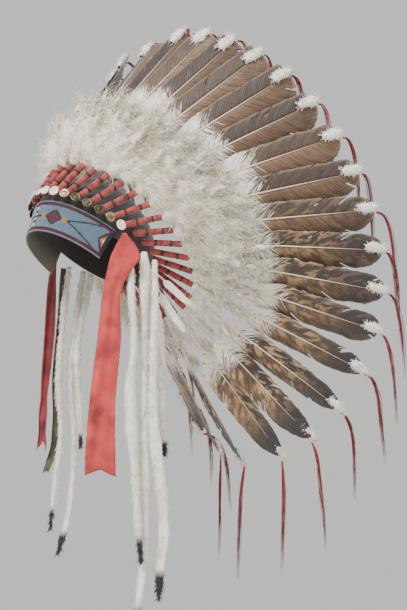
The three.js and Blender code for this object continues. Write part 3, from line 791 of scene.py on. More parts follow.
def on_surface(piece, count, chance):
    """Points spread evenly over a piece, with the surface's direction at each."""
    mesh = piece.data
    mesh.calc_loop_triangles()
    verts = np.empty(len(mesh.vertices) * 3, np.float32)
    mesh.vertices.foreach_get("co", verts)
    corners = np.empty(len(mesh.loop_triangles) * 3, np.int32)
    mesh.loop_triangles.foreach_get("vertices", corners)
    p = verts.reshape(-1, 3)[corners.reshape(-1, 3)].astype(float)
    normal = np.cross(p[:, 1] - p[:, 0], p[:, 2] - p[:, 0])
    area = np.linalg.norm(normal, axis=1)
    chosen = chance.choice(len(p), size=count, p=area / area.sum())
    a, b = chance.random(count), chance.random(count)
    a, b = np.where(a + b > 1, 1 - a, a), np.where(a + b > 1, 1 - b, b)
    p = p[chosen]
    return (p[:, 0] + a[:, None] * (p[:, 1] - p[:, 0]) + b[:, None] * (p[:, 2] - p[:, 0]),
            normal[chosen] / area[chosen, None])


def nearest_stand(points):
    """For each point the stand whose quill line is nearest, and the distance up it in millimetres."""
    feet = np.array([s["foot"] for s in STANDS])
    ways = np.array([s["along"] for s in STANDS])
    gap = points[:, None] / MM - feet[None]
    up = np.einsum("ijk,jk->ij", gap, ways)
    off = np.linalg.norm(gap - up[..., None] * ways[None], axis=2)
    which = off.argmin(axis=1)
    return which, up[np.arange(len(points)), which]


def grown(roots, ways, lengths, bends, steps=4):
    """Curved paths from roots: lengths in metres, bends a sideways vector reached at the end."""
    t = np.linspace(0, 1, steps)[None, :, None]
    return roots[:, None] + ways[:, None] * lengths[:, None, None] * t + bends[:, None] * t ** 2


class HEADDRESS_OT_vanes(Operator):
    """Tail feathers: barbed vanes and shafts, each in the place of its solid"""
    bl_idname = "headdress.vanes"
    bl_label = "Tail feathers"

    def execute(self, context):
        sizes = context.scene.headdress
        tones = np.random.default_rng(11)
        for s in STANDS:
            low = 0.16 * max(s["k"] - 8, 0) if s["k"] < LOW_FROM else min(0.5 + 0.17 * (s["k"] - LOW_FROM), 1)
            shape = vane_end(s["k"], s["low"])
            shape.update(base=146, shaft_from=66, splits=(2, 5), camber=4.0)
            for half in ("lead", "trail"):
                shape[half] *= sizes.vane_width / (LEAD_HALF + TRAIL_HALF)
            kind = (low, tones.random(), tones.uniform(0.15, 1))
            parts = feather_parts(lambda u, w, n: on_feather(s, u, w + shaft_line(u), n), s["over"], shape, kind,
                                  barbs=sizes.barbs)
            vane = mesh_piece("vane_" + feather_name(s), parts, ["vane", "shaft"])
            settle(vane, "feather", "feather_" + feather_name(s))
        return {"FINISHED"}


# a wrap's height and radius, drawn in under each tie, and the heights of its turns of thread
WRAP_ROWS = [(0, 4.1), (1.5, 4.8), (8, 5.0), (17, 4.9), (19.5, 4.8), (20.3, 4.1), (23.3, 4.1), (24.2, 4.8),
             (32, 5.0), (42, 4.9), (43.6, 4.8), (44.4, 4.1), (47.4, 4.1), (48.3, 4.8), (58, 5.0), (66, 4.8),
             (69, 4.4), (70, 3.4)]
TIE_HEIGHTS = (1.2, 20.9, 22.0, 23.0, 45.0, 46.1, 47.1, 68.6)
TIE_RADIUS, THREAD_RADIUS = 4.5, 0.62
WRAP_TURN = 67       # degrees from one wrap to the next, so that no two show the same side


class HEADDRESS_OT_wraps(Operator):
    """Red wool wraps tied round the feet of the quills, modelled once and copied"""
    bl_idname = "headdress.wraps"
    bl_label = "Quill wraps"

    def execute(self, context):
        cloth = turned("wrap_pattern", [(h * MM, r * MM) for h, r in WRAP_ROWS], 14, ["wrap", "sinew"])
        crumple = bpy.data.textures.new("wrap_crumple", "CLOUDS")
        crumple.noise_scale = 0.007
        apply(cloth, "DISPLACE", texture=crumple, texture_coords="LOCAL", strength=0.0011, mid_level=0.5)
        rings = [cloth]
        for height in TIE_HEIGHTS:
            bpy.ops.object.select_all(action="DESELECT")
            bpy.ops.mesh.primitive_torus_add(major_radius=TIE_RADIUS * MM, minor_radius=THREAD_RADIUS * MM,
                                             major_segments=14, minor_segments=5, location=(0, 0, height * MM))
            bpy.ops.object.transform_apply(location=True, rotation=True, scale=True)
            ring = bpy.context.active_object
            ring.data.materials.append(finish("sinew"))
            bpy.ops.object.shade_smooth()
            rings.append(ring)
        pattern = join(rings, "wrap_pattern")
        for s in STANDS:
            turn = math.radians(WRAP_TURN * s["k"])
            x = s["across"] * math.cos(turn) + s["over"] * math.sin(turn)
            y = s["over"] * math.cos(turn) - s["across"] * math.sin(turn)
            settle(copied(pattern, "wrap_" + feather_name(s), x, y, s["along"], s["foot"] * MM), "red_cloth")
        dropped(pattern)
        return {"FINISHED"}


class HEADDRESS_OT_down(Operator):
    """The ruff of loose down over the feet of the vanes: one matted skin and many curved strands"""
    bl_idname = "headdress.down"
    bl_label = "Down ruff"

    def execute(self, context):
        core = ruff_core()
        chance = np.random.default_rng(77)
        count = context.scene.headdress.down_strands
        roots, normals = on_surface(core, count, chance)
        which, up = nearest_stand(roots)
        ways = np.array([s["along"] for s in STANDS])[which]
        stray = chance.normal(size=roots.shape)
        heads = unit_rows(0.55 * normals + 0.75 * ways + 0.3 * stray)
        lengths = chance.uniform(9, 20, count) + 16 * smooth_step(up, 110, 185) * chance.random(count)
        bends = chance.normal(size=roots.shape) * 4 + np.array([0, 0, -2.5])
        paths = grown(roots - normals * 1.5 * MM, heads, lengths * MM, bends * MM, steps=3)
        radii = np.array([0.55, 0.42, 0.12]) * MM
        left = np.array([s["side"] > 0 for s in STANDS])[which]
        settle(core, "feather")
        for word, mine in (("left", left), ("right", ~left)):
            settle(mesh_piece("down_strands_" + word, [strands(paths[mine], radii)], ["down"]), "feather")
        return {"FINISHED"}


TUFT_WIDE, TUFT_THICK = 8.6, 6.2     # half width and half thickness of a tip tuft's skin


class HEADDRESS_OT_tips(Operator):
    """White fur tufts tied on the feather tips"""
    bl_idname = "headdress.tips"
    bl_label = "Tip tufts"

    def execute(self, context):
        chance = np.random.default_rng(5)
        hairs = context.scene.headdress.tuft_hairs
        for word, side in (("left", 1), ("right", -1)):
            parts = []
            for s in STANDS:
                if s["side"] != side:
                    continue
                size = 1 - 0.22 * s["low"]
                t = np.linspace(0, 1, 9)
                u = 344 + 34 * t
                w = -9 * size + shaft_line(u) * 0.6 + 3 * t + chance.normal(size=9) * 0.5
                n = 3.2 + chance.normal(size=9) * 0.4
                body = np.sin(np.pi * (0.06 + 0.9 * t)) ** 0.55 * chance.uniform(0.86, 1.1, 9)
                middles = on_feather(s, u, w, n)
                tuft = oval_loft(middles, s["across"], s["over"], TUFT_WIDE * size * body * MM,
                                  TUFT_THICK * size * body * MM, 9)
                tuft["points"] += chance.normal(size=tuft["points"].shape) * 0.5 * MM
                tuft["uv"][:, 0] = 0.5
                parts.append(tuft)
                which = chance.integers(0, 9, hairs)
                turn = chance.uniform(0, 2 * np.pi, hairs)
                aside = (np.cos(turn)[:, None] * s["across"] * TUFT_WIDE * size
                         + np.sin(turn)[:, None] * s["over"] * TUFT_THICK * size)
                lean = 1.5 * (t[which] - 0.4)
                heads = unit_rows(aside / 8 + lean[:, None] * s["along"] + 0.35 * chance.normal(size=(hairs, 3)))
                roots = middles[which] + aside * body[which][:, None] * 0.92 * MM
                roots += s["along"] * chance.uniform(-2, 2, hairs)[:, None] * MM
                paths = grown(roots, heads, chance.uniform(2.5, 5.5, hairs) * MM,
                              chance.normal(size=(hairs, 3)) * 0.8 * MM, steps=3)
                parts.append(strands(paths, np.array([0.55, 0.45, 0.15]) * MM))
                tie = oval_loft(on_feather(s, np.array([342, 343, 345.5, 346.5]), np.full(4, w[0]), np.full(4, n[0])),
                                s["across"], s["over"], np.array([1.6, 2.6, 2.6, 1.6]) * size * MM,
                                np.array([1.4, 2.3, 2.3, 1.4]) * size * MM, 8, 1)
                parts.append(tie)
            settle(mesh_piece("tip_tufts_" + word, parts, ["tuft", "sinew"]), "feather")
        return {"FINISHED"}


def lock_path(s, w):
    """The middle of a horsehair lock, w from 0 at the tuft to 1 at its end, in millimetres."""
    fall, reach, behind = FRONT_LOCK if s["k"] == 1 and s["side"] > 0 else (
        LOCK_FALL, LOCK_REACH[s["k"] % 2], LOCK_BEHIND[s["k"] % 3])
    start = s["foot"] + s["along"] * float(stretched(s, FLUFF_END - 4))
    w = np.asarray(w)[..., None]
    return (start + s["along"] * reach * (1 - (1 - w) ** 2) - s["face"] * behind * np.sin(np.pi * w / 2)
            - np.array([0, 0, 1.0]) * fall * w ** 2)


class HEADDRESS_OT_locks(Operator):
    """Locks of red horsehair falling from the tips"""
    bl_idname = "headdress.locks"
    bl_label = "Horsehair locks"

    def execute(self, context):
        chance = np.random.default_rng(9)
        hairs, steps = context.scene.headdress.lock_hairs, 16
        w = np.linspace(0, 1, steps)
        for word, side in (("left", 1), ("right", -1)):
            paths = []
            for s in STANDS:
                if s["side"] != side:
                    continue
                middle = lock_path(s, w)
                sway = np.outer(np.sin(w * chance.uniform(4, 8) + chance.uniform(0, 6)) * w * chance.uniform(1, 4),
                                s["across"])
                for _ in range(hairs):
                    spread = chance.normal(size=3) * 0.9
                    gather = (0.55 + 1.2 * np.sin(np.pi * w * 0.8))[:, None]
                    wave = np.outer(np.sin(w * chance.uniform(5, 12) + chance.uniform(0, 6.28)) * 0.9 * w,
                                    chance.normal(size=3))
                    end = chance.uniform(0.78, 1.0)
                    at = np.interp(w * end, w, w)
                    path = np.stack([np.interp(at, w, (middle + sway)[:, i]) for i in range(3)], axis=1)
                    paths.append((path + spread * gather + wave) * MM)
            radii = np.interp(w, [0, 0.8, 1], [0.42, 0.36, 0.12]) * MM
            settle(mesh_piece("horsehair_" + word, [strands(np.array(paths), radii)], ["horsehair"]), "feather")
        return {"FINISHED"}


def button_place(k):
    """Middle of the button at a feather's foot, numbered from the brow, and its outward direction."""
    s = STANDS[0] if k == 0 else STANDS[abs(k) if k > 0 else SIDE_COUNT + abs(k)]
    out = rim_out(k * PITCH)
    back = unit(s["along"] - out * s["along"].dot(out))
    return s["foot"] + out * BUTTON_OUT + back * (-BUTTON_UNDER - BUTTON_SINK * k * k), out


# a button's height and radius, from its back to the boss in its dished face, and which finish each has, by its
# number from the brow: 0 shell, 1 brass, 2 tarnished brass
BUTTON_ROWS = [(-1.1, 6.6), (-0.9, 7.6), (-0.2, 8.2), (0.4, 8.1), (0.95, 7.3), (1.1, 6.2), (0.7, 5.4), (0.75, 2.6),
               (1.25, 2.0), (1.4, 0.9)]
BUTTON_KINDS = {3: 1, 7: 1, 4: 2, 5: 2, 6: 2}


class HEADDRESS_OT_buttons(Operator):
    """Shell and brass buttons laced in a row along the brow"""
    bl_idname = "headdress.buttons"
    bl_label = "Buttons"

    def execute(self, context):
        made = []
        for key in ("shell", "brass", "tarnished"):
            made.append(turned("button_" + key, [(h * MM, r * MM) for h, r in BUTTON_ROWS], 24, [key]))
        buttons = []
        for k in range(-BUTTON_SPAN, BUTTON_SPAN + 1):
            middle, out = button_place(k)
            pattern = made[BUTTON_KINDS.get(abs(k), 0)]
            across = unit(np.cross(UP, out))
            lean = unit(out + across * 0.08 * math.sin(k * 2.3) + UP * 0.1 * math.cos(k * 1.7))
            across = unit(np.cross(UP, lean))
            size = min(BUTTON_RADIUS, BUTTON_SMALL + BUTTON_GROW * abs(k)) / BUTTON_RADIUS
            buttons.append(copied(pattern, f"button_{k}", across * size, np.cross(lean, across) * size, lean,
                                  middle * MM))
        steps = np.linspace(-BUTTON_SPAN, BUTTON_SPAN, 2 * BUTTON_SPAN * 6 + 1)
        numbers = np.arange(-BUTTON_SPAN, BUTTON_SPAN + 1)
        keys = np.array([button_place(int(k))[0] for k in numbers])
        path = np.stack([np.interp(steps, numbers, keys[:, i]) for i in range(3)], 1)
        outs = np.array([rim_out(k * PITCH) for k in steps])
        path = path + outs * (-2.0 + 0.5 * np.cos(steps * 2 * np.pi))[:, None]
        buttons.append(mesh_piece("button_thong", [oval_loft(path * MM, outs, UP, 0.6 * MM, 1.0 * MM, 8)], ["hide"]))
        for pattern in made:
            dropped(pattern)
        settle(join(buttons, "button_row"), "shell", "buttons")
        return {"FINISHED"}


def band_point(angle, high, proud):
    """A point of the brow band: high from its lower edge, proud of its inner face, in millimetres."""
    out = -CAP_INSET + BAND_GAP - BAND_TAPER * (1 - high / BAND_HIGH) + proud
    return rim_point(angle, out, high - BAND_DROP - BAND_HIGH)


LIGHT_BLUE, NAVY, BURGUNDY, OCHRE, WHITE = "#6C8A9C", "#1A2040", "#701F31", "#BE9440", "#E8E4E0"
PATTERN_END = 122                        # where the last figure's middle lies, from the middle of the brow
DIAMOND_AT, DIAMOND_LONG, DIAMOND_TALL = 35, 14.5, 13.5
DOTS_AT = (17.5, 52.5)
ARMS_FROM, ARMS_SLOPE = 57, 0.36         # the two lines that open from the diamond towards the temple
BEAD_ROWS, BEAD_SIDES = 28, 5
BEAD_FILL, BEAD_HALF, BEAD_PROUD = 0.97, 0.78, 2.1   # share of its pitch that a bead fills, half thickness, height
BEAD_LEVELS = np.array([[-0.86, 0.5], [-0.5, 0.98], [0.5, 0.98], [0.86, 0.5]])   # along a bead, and its girth there
# the backing's section: height above the lower edge, distance proud of the inner face
BACKING = ((0.4, 0), (0, 0.6), (0, 1.1), (0.5, 1.5), (25, 1.5), (50.5, 1.5), (51, 1.1), (51, 0.6), (50.6, 0))
BAND_STEPS, BAND_FINE = 81, 641          # stations along the backing, and along the line the beads are spaced on


def bead_colour(s, h):
    """The beadwork's pattern: s is the distance from the middle of the brow, h the height, in millimetres."""
    edge = min(h, BAND_HIGH - h)
    row = int(edge / 1.8)
    if row < 4:
        return (LIGHT_BLUE, BURGUNDY, NAVY, BURGUNDY)[row]
    s = abs(s)
    mid = abs(h - BAND_HIGH / 2)
    if s > PATTERN_END:
        return BURGUNDY if s < PATTERN_END + 2 else NAVY
    end = abs(s - PATTERN_END) / 12 + mid / 17
    if end < 1:
        return WHITE if end < 0.35 else OCHRE if end < 0.6 else BURGUNDY if end < 0.78 else NAVY
    if s < 3.6:
        if mid < 1.8:
            return BURGUNDY
        return WHITE if s < 1.8 and int(mid / 5.4) % 2 == 0 else BURGUNDY
    diamond = abs(s - DIAMOND_AT) / DIAMOND_LONG + mid / DIAMOND_TALL
    if diamond < 1:
        return BURGUNDY if diamond < 0.8 else NAVY
    for middle in DOTS_AT:
        if abs(s - middle) < 6 and mid < 1.2 + 5 * (1 - abs(s - middle) / 6) and abs(s - middle) / 6 + mid / 8 < 1:
            return OCHRE
    if s < 14 and mid < 1.2:
        return NAVY
    if s > ARMS_FROM and abs(mid - (s - ARMS_FROM) * ARMS_SLOPE) < 1.3:
        return NAVY
    return LIGHT_BLUE


class HEADDRESS_OT_band(Operator):
    """The beaded brow band: a hide backing and rows of glass beads laid by chart"""
    bl_idname = "headdress.band"
    bl_label = "Beaded brow band"

    def execute(self, context):
        angles = np.linspace(-BAND_SWEEP, BAND_SWEEP, BAND_STEPS)
        points = np.array([band_point(a, h, p) for a in angles for h, p in BACKING]) * MM
        backing = {"points": points, "faces": facing_out(points, loft_faces(BAND_STEPS, len(BACKING))), "finish": 1}
        pitch_high = BAND_HIGH / BEAD_ROWS
        fine = np.linspace(-BAND_SWEEP, BAND_SWEEP, BAND_FINE)
        mid = np.array([band_point(a, 25, 2) for a in fine])
        run = np.concatenate([[0], np.cumsum(np.linalg.norm(np.diff(mid, axis=0), axis=1))])
        half = run[-1] / 2
        columns = context.scene.headdress.bead_columns
        chance = np.random.default_rng(3)
        where, heads, sides, outs, colours = [], [], [], [], []
        for c in range(columns):
            s = (c + 0.5) * run[-1] / columns
            a = np.interp(s, run, fine)
            out = rim_out(a)
            aside = unit(band_point(a + 0.5, 25, 2) - band_point(a - 0.5, 25, 2))
            for r in range(BEAD_ROWS):
                h = (r + 0.5) * pitch_high
                where.append(band_point(a, h, BEAD_PROUD) + aside * chance.normal() * 0.08
                             + UP * chance.normal() * 0.08)
                up = unit(band_point(a, h + 1, 2) - band_point(a, h - 1, 2))
                heads.append(up + aside * chance.normal() * 0.04)
                sides.append(aside)
                outs.append(out)
                base = np.array(linear(bead_colour(s - half, h))[:3])
                colours.append(base * chance.uniform(0.82, 1.12))
        where, heads, sides, outs = (np.array(v) for v in (where, heads, sides, outs))
        wide = run[-1] / columns / 2 * BEAD_FILL
        turn = 2 * np.pi * (np.arange(BEAD_SIDES) + 0.5) / BEAD_SIDES
        ring = sides[:, None] * np.cos(turn)[:, None] * wide + outs[:, None] * np.sin(turn)[:, None] * BEAD_HALF
        points = (where[:, None, None] + heads[:, None, None] * (BEAD_LEVELS[:, 0] * pitch_high / 2)[:, None, None]
                  + ring[:, None] * BEAD_LEVELS[:, 1][:, None, None]).reshape(len(where), -1, 3)
        base = facing_out(points[0], loft_faces(len(BEAD_LEVELS), BEAD_SIDES))
        each = points.shape[1]
        shift = (np.arange(len(where)) * each)[:, None, None]
        beads = {"points": points.reshape(-1, 3) * MM,
                 "faces": [(f[None] + shift).reshape(-1, f.shape[1]) for f in base],
                 "paint": {"bead": np.repeat(np.array(colours), each, axis=0)}}
        settle(mesh_piece("beaded_band", [beads, backing], ["beads", "hide"]), "glass_beads", "brow_band")
        return {"FINISHED"}


class HEADDRESS_OT_cap(Operator):
    """The felt cap that carries the feathers"""
    bl_idname = "headdress.cap"
    bl_label = "Felt cap"

    def execute(self, context):
        bpy.ops.object.select_all(action="DESELECT")
        bpy.ops.mesh.primitive_uv_sphere_add(segments=72, ring_count=36, radius=1)
        cap = bpy.context.active_object
        cap.name = cap.data.name = "felt_cap"
        bpy.ops.object.mode_set(mode="EDIT")
        bpy.ops.mesh.select_all(action="SELECT")
        bpy.ops.mesh.bisect(plane_co=(0, 0, 0), plane_no=(0, 0, 1), clear_inner=True)
        bpy.ops.mesh.select_all(action="DESELECT")
        bpy.ops.mesh.select_mode(type="EDGE")
        bpy.ops.mesh.select_non_manifold()
        for share in (0.998, 0.99, CAP_FOOT):
            bpy.ops.mesh.extrude_edges_move(TRANSFORM_OT_translate={"value": (0, 0, -CAP_SKIRT / CAP_HIGH / 3)})
            bpy.ops.transform.resize(value=(share, share, 1), center_override=(0, 0, 0))
        bpy.ops.object.mode_set(mode="OBJECT")
        x, y, z = LEFT * (RIM_SIDE - CAP_INSET) * MM, FORE * (RIM_LONG - CAP_INSET) * MM, UP * CAP_HIGH * MM
        place = Matrix([[x[i], y[i], z[i], -SEAT[i] * MM] for i in range(3)] + [[0, 0, 0, 1]])
        cap.data.transform(place)
        if place.determinant() < 0:
            cap.data.flip_normals()
        cap.data.update()
        apply(cap, "SOLIDIFY", thickness=CAP_WALL * MM, offset=-1)
        apply(cap, "BEVEL", width=0.8 * MM, segments=2, limit_method="ANGLE", angle_limit=math.radians(40))
        pick(cap)
        bpy.ops.object.shade_smooth()
        cap.data.materials.append(finish("felt"))
        settle(cap, "felt", "cap")
        return {"FINISHED"}


def spot(left, back, up):
    """A point given from the rim's middle, in millimetres."""
    return np.array([left, back, up], float) - SEAT


def smooth_rows(rows, steps):
    """Rows of numbers joined by a smooth curve, sampled evenly along the first three."""
    rows = np.array(rows, float)
    run = np.concatenate([[0], np.cumsum(np.linalg.norm(np.diff(rows[:, :3], axis=0), axis=1))])
    want = np.linspace(0, run[-1], steps)
    slope = np.gradient(rows, run, axis=0)
    n = np.clip(np.searchsorted(run, want, side="right") - 1, 0, len(run) - 2)
    span = (run[n + 1] - run[n])[:, None]
    t = ((want - run[n])[:, None]) / span
    a, b, p, q = rows[n], rows[n + 1], slope[n] * span, slope[n + 1] * span
    return (a * (2 * t ** 3 - 3 * t ** 2 + 1) + b * (3 * t ** 2 - 2 * t ** 3) + p * (t ** 3 - 2 * t ** 2 + t)
            + q * (t ** 3 - t ** 2)), run[-1]


CLOTH = 1.0
RIBBON_COLUMNS, RIBBON_STEPS = 14, 110


def ribbon_part(side, rows, notch, turn, seed):
    """A hanging ribbon with soft folds down it, creases across it and an end cut to a V. Also returns its length and
    mean width, which are its flat size."""
    columns, steps = RIBBON_COLUMNS, RIBBON_STEPS
    rows, length = smooth_rows([(side * l, b, u, h) for l, b, u, h in rows], steps)
    across = np.array([side * math.sin(turn), math.cos(turn), 0])
    over = np.array([side * math.cos(turn), -math.sin(turn), 0])
    chance = np.random.default_rng(seed)
    t = np.linspace(0, 1, steps)[:, None]
    x = np.linspace(-1, 1, columns)[None]
    half = rows[:, 3:4]
    fold = (2.6 * np.sin(x * 2.6 + 1.3 + 2.5 * t) + 1.4 * np.sin(x * 6 + 2 + 5 * t)) * smooth_step(t, 0.02, 0.25)
    crease = 0.9 * np.sin(t * length / 9 + 2 * x) * smooth_step(t, 0.55, 0.85) + 0.5 * np.sin(t * length / 23 - x)
    drop = np.where(t > 0.8, notch * (1 - np.abs(x)) * smooth_step(t, 0.8, 1), 0)
    points = (rows[:, :3] - SEAT)[:, None] + across * (x * half)[..., None]
    points = points + over * (fold + crease)[..., None] + np.array([0, 0, 1.0]) * drop[..., None]
    edge = chance.normal(size=(steps, 2)) * 0.25
    points[:, 0] += across * edge[:, :1]
    points[:, -1] += across * edge[:, 1:]
    i, j = np.meshgrid(np.arange(steps - 1), np.arange(columns - 1), indexing="ij")
    a = (i * columns + j).ravel()
    quads = np.stack([a, a + 1, a + columns + 1, a + columns], axis=1)
    solid, faces = thickened(points.reshape(-1, 3) * MM, quads, over, CLOTH * MM)
    uv = np.stack(np.broadcast_arrays(x * half * MM, t * length * MM), -1).reshape(-1, 2)
    return {"points": solid, "faces": faces, "uv": np.vstack([uv, uv])}, length, 2 * rows[:, 3].mean()


# left, back and up from the rim's middle, and half the width
RIBBON_ROWS = [(95, -12, -14, 3), (95, -10, -49, 22), (92, -19, -72, 18), (90, -26, -91, 15), (90, -34, -176, 18),
               (90, -46, -286, 20), (90, -48, -336, 22), (90, -48, -382, 23)]
RAGGED_ROWS = [(95, -12, -14, 3), (92, -20, -60, 12), (90, -28, -180, 10), (88, -34, -262, 6), (88, -34, -326, 7)]
DARK_ROWS = [(98, 6, -30, 5), (100, -4, -200, 6), (98, -9, -330, 5), (98, -20, -359, 4)]


class HEADDRESS_OT_ribbons(Operator):
    """The cloth ribbons that hang at both temples"""
    bl_idname = "headdress.ribbons"
    bl_label = "Ribbons"

    def execute(self, context):
        turn = math.radians(25)
        for name, side, rows, notch, way, key, slot, node in (
                ("temple_ribbon_left", 1, RIBBON_ROWS, 10, turn, "coral", "red_cloth", "ribbon_left"),
                ("temple_ribbon_right", -1, RAGGED_ROWS, 16, turn, "dark_red", "red_cloth", "ribbon_right"),
                ("temple_ribbon_dark", -1, DARK_ROWS, 4, 0.0, "olive", "dark_cloth", "ribbon_right_dark")):
            part, length, width = ribbon_part(side, rows, notch, way, len(name))
            piece = settle(mesh_piece(name, [part], [key]), slot, node)
        return {"FINISHED"}


# each strip's side, then rows of left, back and up from the rim's middle, half width and half thickness
ERMINE_ROWS = {
    "left_1": (1, [(88, 6, -34, 4, 4), (92, 3, -96, 7.5, 5.5), (92, 9, -188, 6.5, 5), (92, 3, -238, 9.5, 6),
                   (92, 7, -320, 10, 6), (92, 12, -365, 9, 5.5), (92, 21, -467, 8, 5), (92, 25, -505, 3, 3)]),
    "left_2": (1, [(82, 34, -34, 5, 4), (84, 34, -64, 11, 5.5), (84, 36, -166, 10, 5.5), (84, 36, -323, 8.5, 5.5),
                   (80, 38, -414, 8, 5), (80, 37, -514, 7, 5), (80, 27, -571, 6, 5), (80, 16, -611, 1.5, 1.5)]),
    "left_3": (1, [(90, 48, -46, 4, 3.5), (97, 44, -100, 6, 4), (97, 41, -250, 8, 5.5), (97, 46, -325, 10, 6),
                   (97, 60, -414, 9, 6), (97, 62, -470, 9, 5.5), (97, 56, -514, 9, 5.5), (97, 54, -557, 2, 2)]),
    "left_4": (1, [(70, 50, -50, 4, 3.5), (72, 70, -200, 6, 4), (72, 80, -310, 6.5, 4), (72, 81, -342, 3, 3)]),
    "right_1": (-1, [(86, 8, -30, 4, 4), (84, -3, -120, 7, 4.5), (84, -9, -220, 6.5, 4.5), (84, -3, -292, 5.5, 4),
                     (84, -14, -393, 5, 4), (84, -20, -447, 1.5, 1.5)]),
    "right_2": (-1, [(84, 34, -34, 5, 4), (92, 20, -215, 9, 5), (92, 27, -312, 7, 5), (92, 23, -387, 8, 5),
                     (92, 16, -429, 8, 4.5), (92, 6, -464, 6, 4), (92, 0, -484, 1.5, 1.5)]),
    "right_3": (-1, [(76, 44, -40, 5, 4), (74, 18, -180, 7, 4.5), (74, 24, -250, 6, 4), (74, 28, -318, 2, 2)]),
}
SKIN_SHARE = 0.86    # how much of a strip's thickness is skin; fur stands to the rest


class HEADDRESS_OT_ermine(Operator):
    """The long strips of white fur that hang at the sides"""
    bl_idname = "headdress.ermine"
    bl_label = "Fur strips"

    def execute(self, context):
        for name, (side, rows) in ERMINE_ROWS.items():
            chance = np.random.default_rng(len(rows) * 31 + side + int(name[-1]))
            steps = 90
            path, length = smooth_rows([(side * l, b, u, w, h) for l, b, u, w, h in rows], steps)
            t = np.linspace(0, 1, steps)
            twist = np.cumsum(chance.normal(size=steps)) * 0.09
            lump = 1 + 0.12 * np.sin(t * length / 11 + 1) * chance.uniform(0.4, 1, steps)
            middles = path[:, :3] - SEAT
            wide, thick = path[:, 3] * lump * SKIN_SHARE, path[:, 4] * lump * SKIN_SHARE
            x = np.stack([np.sin(twist), np.cos(twist), 0 * twist], 1)
            y = np.stack([np.cos(twist), -np.sin(twist), 0 * twist], 1)
            core = oval_loft(middles * MM, x, y, wide * MM, thick * MM, 14)
            count = int(length * context.scene.headdress.fur_per_cm / 10)
            at = np.sort(chance.uniform(0, 1, count))
            row = np.clip((at * (steps - 1)).astype(int), 0, steps - 2)
            angle = chance.uniform(0, 2 * np.pi, count)
            aside = (np.cos(angle)[:, None] * x[row] * wide[row][:, None]
                     + np.sin(angle)[:, None] * y[row] * thick[row][:, None])
            roots = np.stack([np.interp(at, t, middles[:, i]) for i in range(3)], 1) + aside * 0.95
            heads = unit_rows(aside) * 0.5 + np.array([0, 0, -1.0]) + 0.2 * chance.normal(size=(count, 3))
            paths = grown(roots * MM, unit_rows(heads), chance.uniform(3.5, 8, count) * MM,
                          chance.normal(size=(count, 3)) * 0.7 * MM, steps=3)
            fur = strands(paths, np.array([0.5, 0.42, 0.14]) * MM)
            fur["uv"][:, 0] = np.repeat(at, 3 * STRAND_SIDES)
            settle(mesh_piece("fur_strip_" + name, [core, fur], ["ermine"]), "white_fur", "ermine_" + name)
        return {"FINISHED"}


# foot and tip, each left, back and up from the rim's middle, and half the width
DROP_FEATHERS = (((76, 60, -80), (100, 100, -154), 7), ((72, 66, -62), (104, 112, -112), 7),
                 ((80, 60, -96), (86, 72, -212), 6))


class HEADDRESS_OT_small_feathers(Operator):
    """The small tan feathers that hang behind the fur strips and lie over the lowest quills"""
    bl_idname = "headdress.small_feathers"
    bl_label = "Small feathers"

    def execute(self, context):
        chance = np.random.default_rng(21)
        for number, (foot, tip, half) in enumerate(DROP_FEATHERS, 1):
            foot, tip = spot(*foot), spot(*tip)
            along = unit(tip - foot)
            over = unit(np.array([1.0, 0, 0]) - along * along[0])
            across = np.cross(along, over)
            length = np.linalg.norm(tip - foot)
            place = lambda u, w, n: (foot + u[..., None] * along + w[..., None] * across
                                     + n[..., None] * over) * MM
            shape = {"tip": length, "back": length * 0.3, "square": 1.6, "lead": half * 0.9, "trail": half * 1.1,
                     "base": length * 0.12, "shaft_from": 0.0, "splits": (1, 3), "camber": 1.2}
            parts = feather_parts(place, over, shape, (0.9, chance.random(), 0.9), 40, 4, 0.9)
            settle(mesh_piece(f"hanging_feather_{number}", parts, ["vane", "shaft"]), "pale_feather",
                   f"drop_feather_{number}")
        return {"FINISHED"}


FLOOR_LEVEL = -0.80
# each lamp's name, place and size in metres, and watts
LAMPS = (("key_light", (1.3, -2.2, 1.7), 1.2, 150), ("fill_light", (2.9, 0.8, 0.3), 1.8, 22),
         ("back_light", (-1.3, 2.4, 1.9), 1.5, 45))
LAMPS_AIM = (0, 0.17, -0.15)
CAMERA_PLACE, CAMERA_AIM = (2.118, -1.423, -0.737), (-0.0017, 0.2333, -0.1656)
LENS, SENSOR = 100.2, 36


class HEADDRESS_OT_stage(Operator):
    """A pale floor, soft lights and the camera"""
    bl_idname = "headdress.stage"
    bl_label = "Stage"

    def execute(self, context):
        sizes = context.scene.headdress
        bpy.ops.object.select_all(action="DESELECT")
        bpy.ops.mesh.primitive_plane_add(size=12, location=(0, 0, FLOOR_LEVEL))
        floor = bpy.context.active_object
        floor.name = floor.data.name = "studio_floor"
        bpy.ops.object.transform_apply(location=True, rotation=True, scale=True)
        floor.data.materials.append(finish("floor"))
        middle = Vector(LAMPS_AIM)
        for name, place, size, power in LAMPS:
            data = bpy.data.lights.new(name, "AREA")
            data.size, data.energy = size, power * sizes.light
            lamp = bpy.data.objects.new(name, data)
            context.scene.collection.objects.link(lamp)
            lamp.location = place
            lamp.rotation_euler = (middle - lamp.location).to_track_quat("-Z", "Y").to_euler()
        world = bpy.data.worlds.new("studio_air")
        world.use_nodes = True
        tree = world.node_tree
        tree.nodes.clear()
        air = add(tree, "ShaderNodeBackground", Color=tuple(sizes.background) + (1.0,), Strength=1.0)
        add(tree, "ShaderNodeOutputWorld", Surface=air)
        context.scene.world = world
        data = bpy.data.cameras.new("camera")
        data.lens, data.sensor_width = LENS, SENSOR
        camera = bpy.data.objects.new("camera", data)
        context.scene.collection.objects.link(camera)
        camera.location = CAMERA_PLACE
        aim = Vector(CAMERA_AIM) - camera.location
        camera.rotation_euler = aim.to_track_quat("-Z", "Y").to_euler()
        context.scene.camera = camera
        return {"FINISHED"}


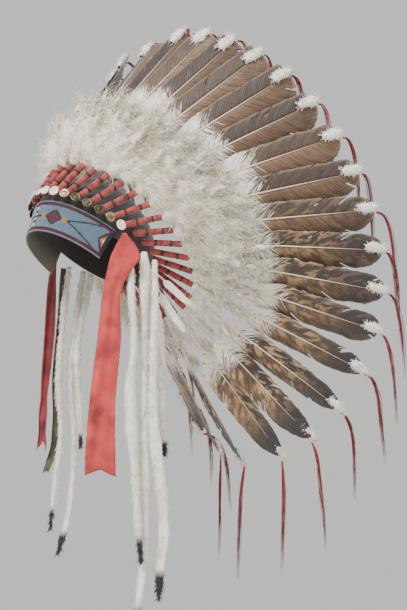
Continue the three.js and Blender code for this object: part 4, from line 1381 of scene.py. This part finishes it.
class HeaddressSizes(PropertyGroup):
    vane_width: FloatProperty(name="Vane width", description="Width of a whole tail feather, in millimetres",
                              default=LEAD_HALF + TRAIL_HALF, min=30, max=75)
    barbs: IntProperty(name="Barbs", description="Barbs drawn on each half of a tail feather", default=90, min=30,
                       max=150)
    down_strands: IntProperty(name="Down strands", description="Loose strands of down in the ruff", default=17000,
                              min=2000, max=27000)
    tuft_hairs: IntProperty(name="Tuft hairs", description="Hairs on each white tip tuft", default=140, min=20,
                            max=400)
    lock_hairs: IntProperty(name="Lock hairs", description="Hairs drawn in each horsehair lock", default=20, min=4,
                            max=40)
    fur_per_cm: IntProperty(name="Fur per centimetre", description="Hairs for each centimetre of a fur strip",
                            default=22, min=5, max=60)
    bead_columns: IntProperty(name="Bead columns", description="Columns of beads along the brow band", default=144,
                              min=60, max=160)
    light: FloatProperty(name="Light", description="Strength of the studio lamps", default=1.0, min=0, max=5)
    background: FloatVectorProperty(name="Background", description="Colour of the air round the object",
                                    subtype="COLOR", default=(0.72, 0.72, 0.71), min=0, max=1)


STEPS = [HEADDRESS_OT_stage, HEADDRESS_OT_cap, HEADDRESS_OT_band, HEADDRESS_OT_buttons, HEADDRESS_OT_wraps,
         HEADDRESS_OT_vanes, HEADDRESS_OT_down, HEADDRESS_OT_tips, HEADDRESS_OT_locks, HEADDRESS_OT_small_feathers,
         HEADDRESS_OT_ribbons, HEADDRESS_OT_ermine]


class HEADDRESS_PT_panel(Panel):
    bl_label = "Feathered headdress"
    bl_space_type = "VIEW_3D"
    bl_region_type = "UI"
    bl_category = "Headdress"

    def draw(self, context):
        sizes = context.scene.headdress
        for key in HeaddressSizes.__annotations__:
            self.layout.prop(sizes, key)
        for step in STEPS:
            self.layout.operator(step.bl_idname)


CLASSES = [HeaddressSizes, *STEPS, HEADDRESS_PT_panel]


def register():
    for item in CLASSES:
        bpy.utils.register_class(item)
    bpy.types.Scene.headdress = PointerProperty(type=HeaddressSizes)


def unregister():
    del bpy.types.Scene.headdress
    for item in reversed(CLASSES):
        bpy.utils.unregister_class(item)


def main():
    register()
    for step in STEPS:
        group, name = step.bl_idname.split(".")
        getattr(getattr(bpy.ops, group), name)()


if __name__ == "__main__":
    main()
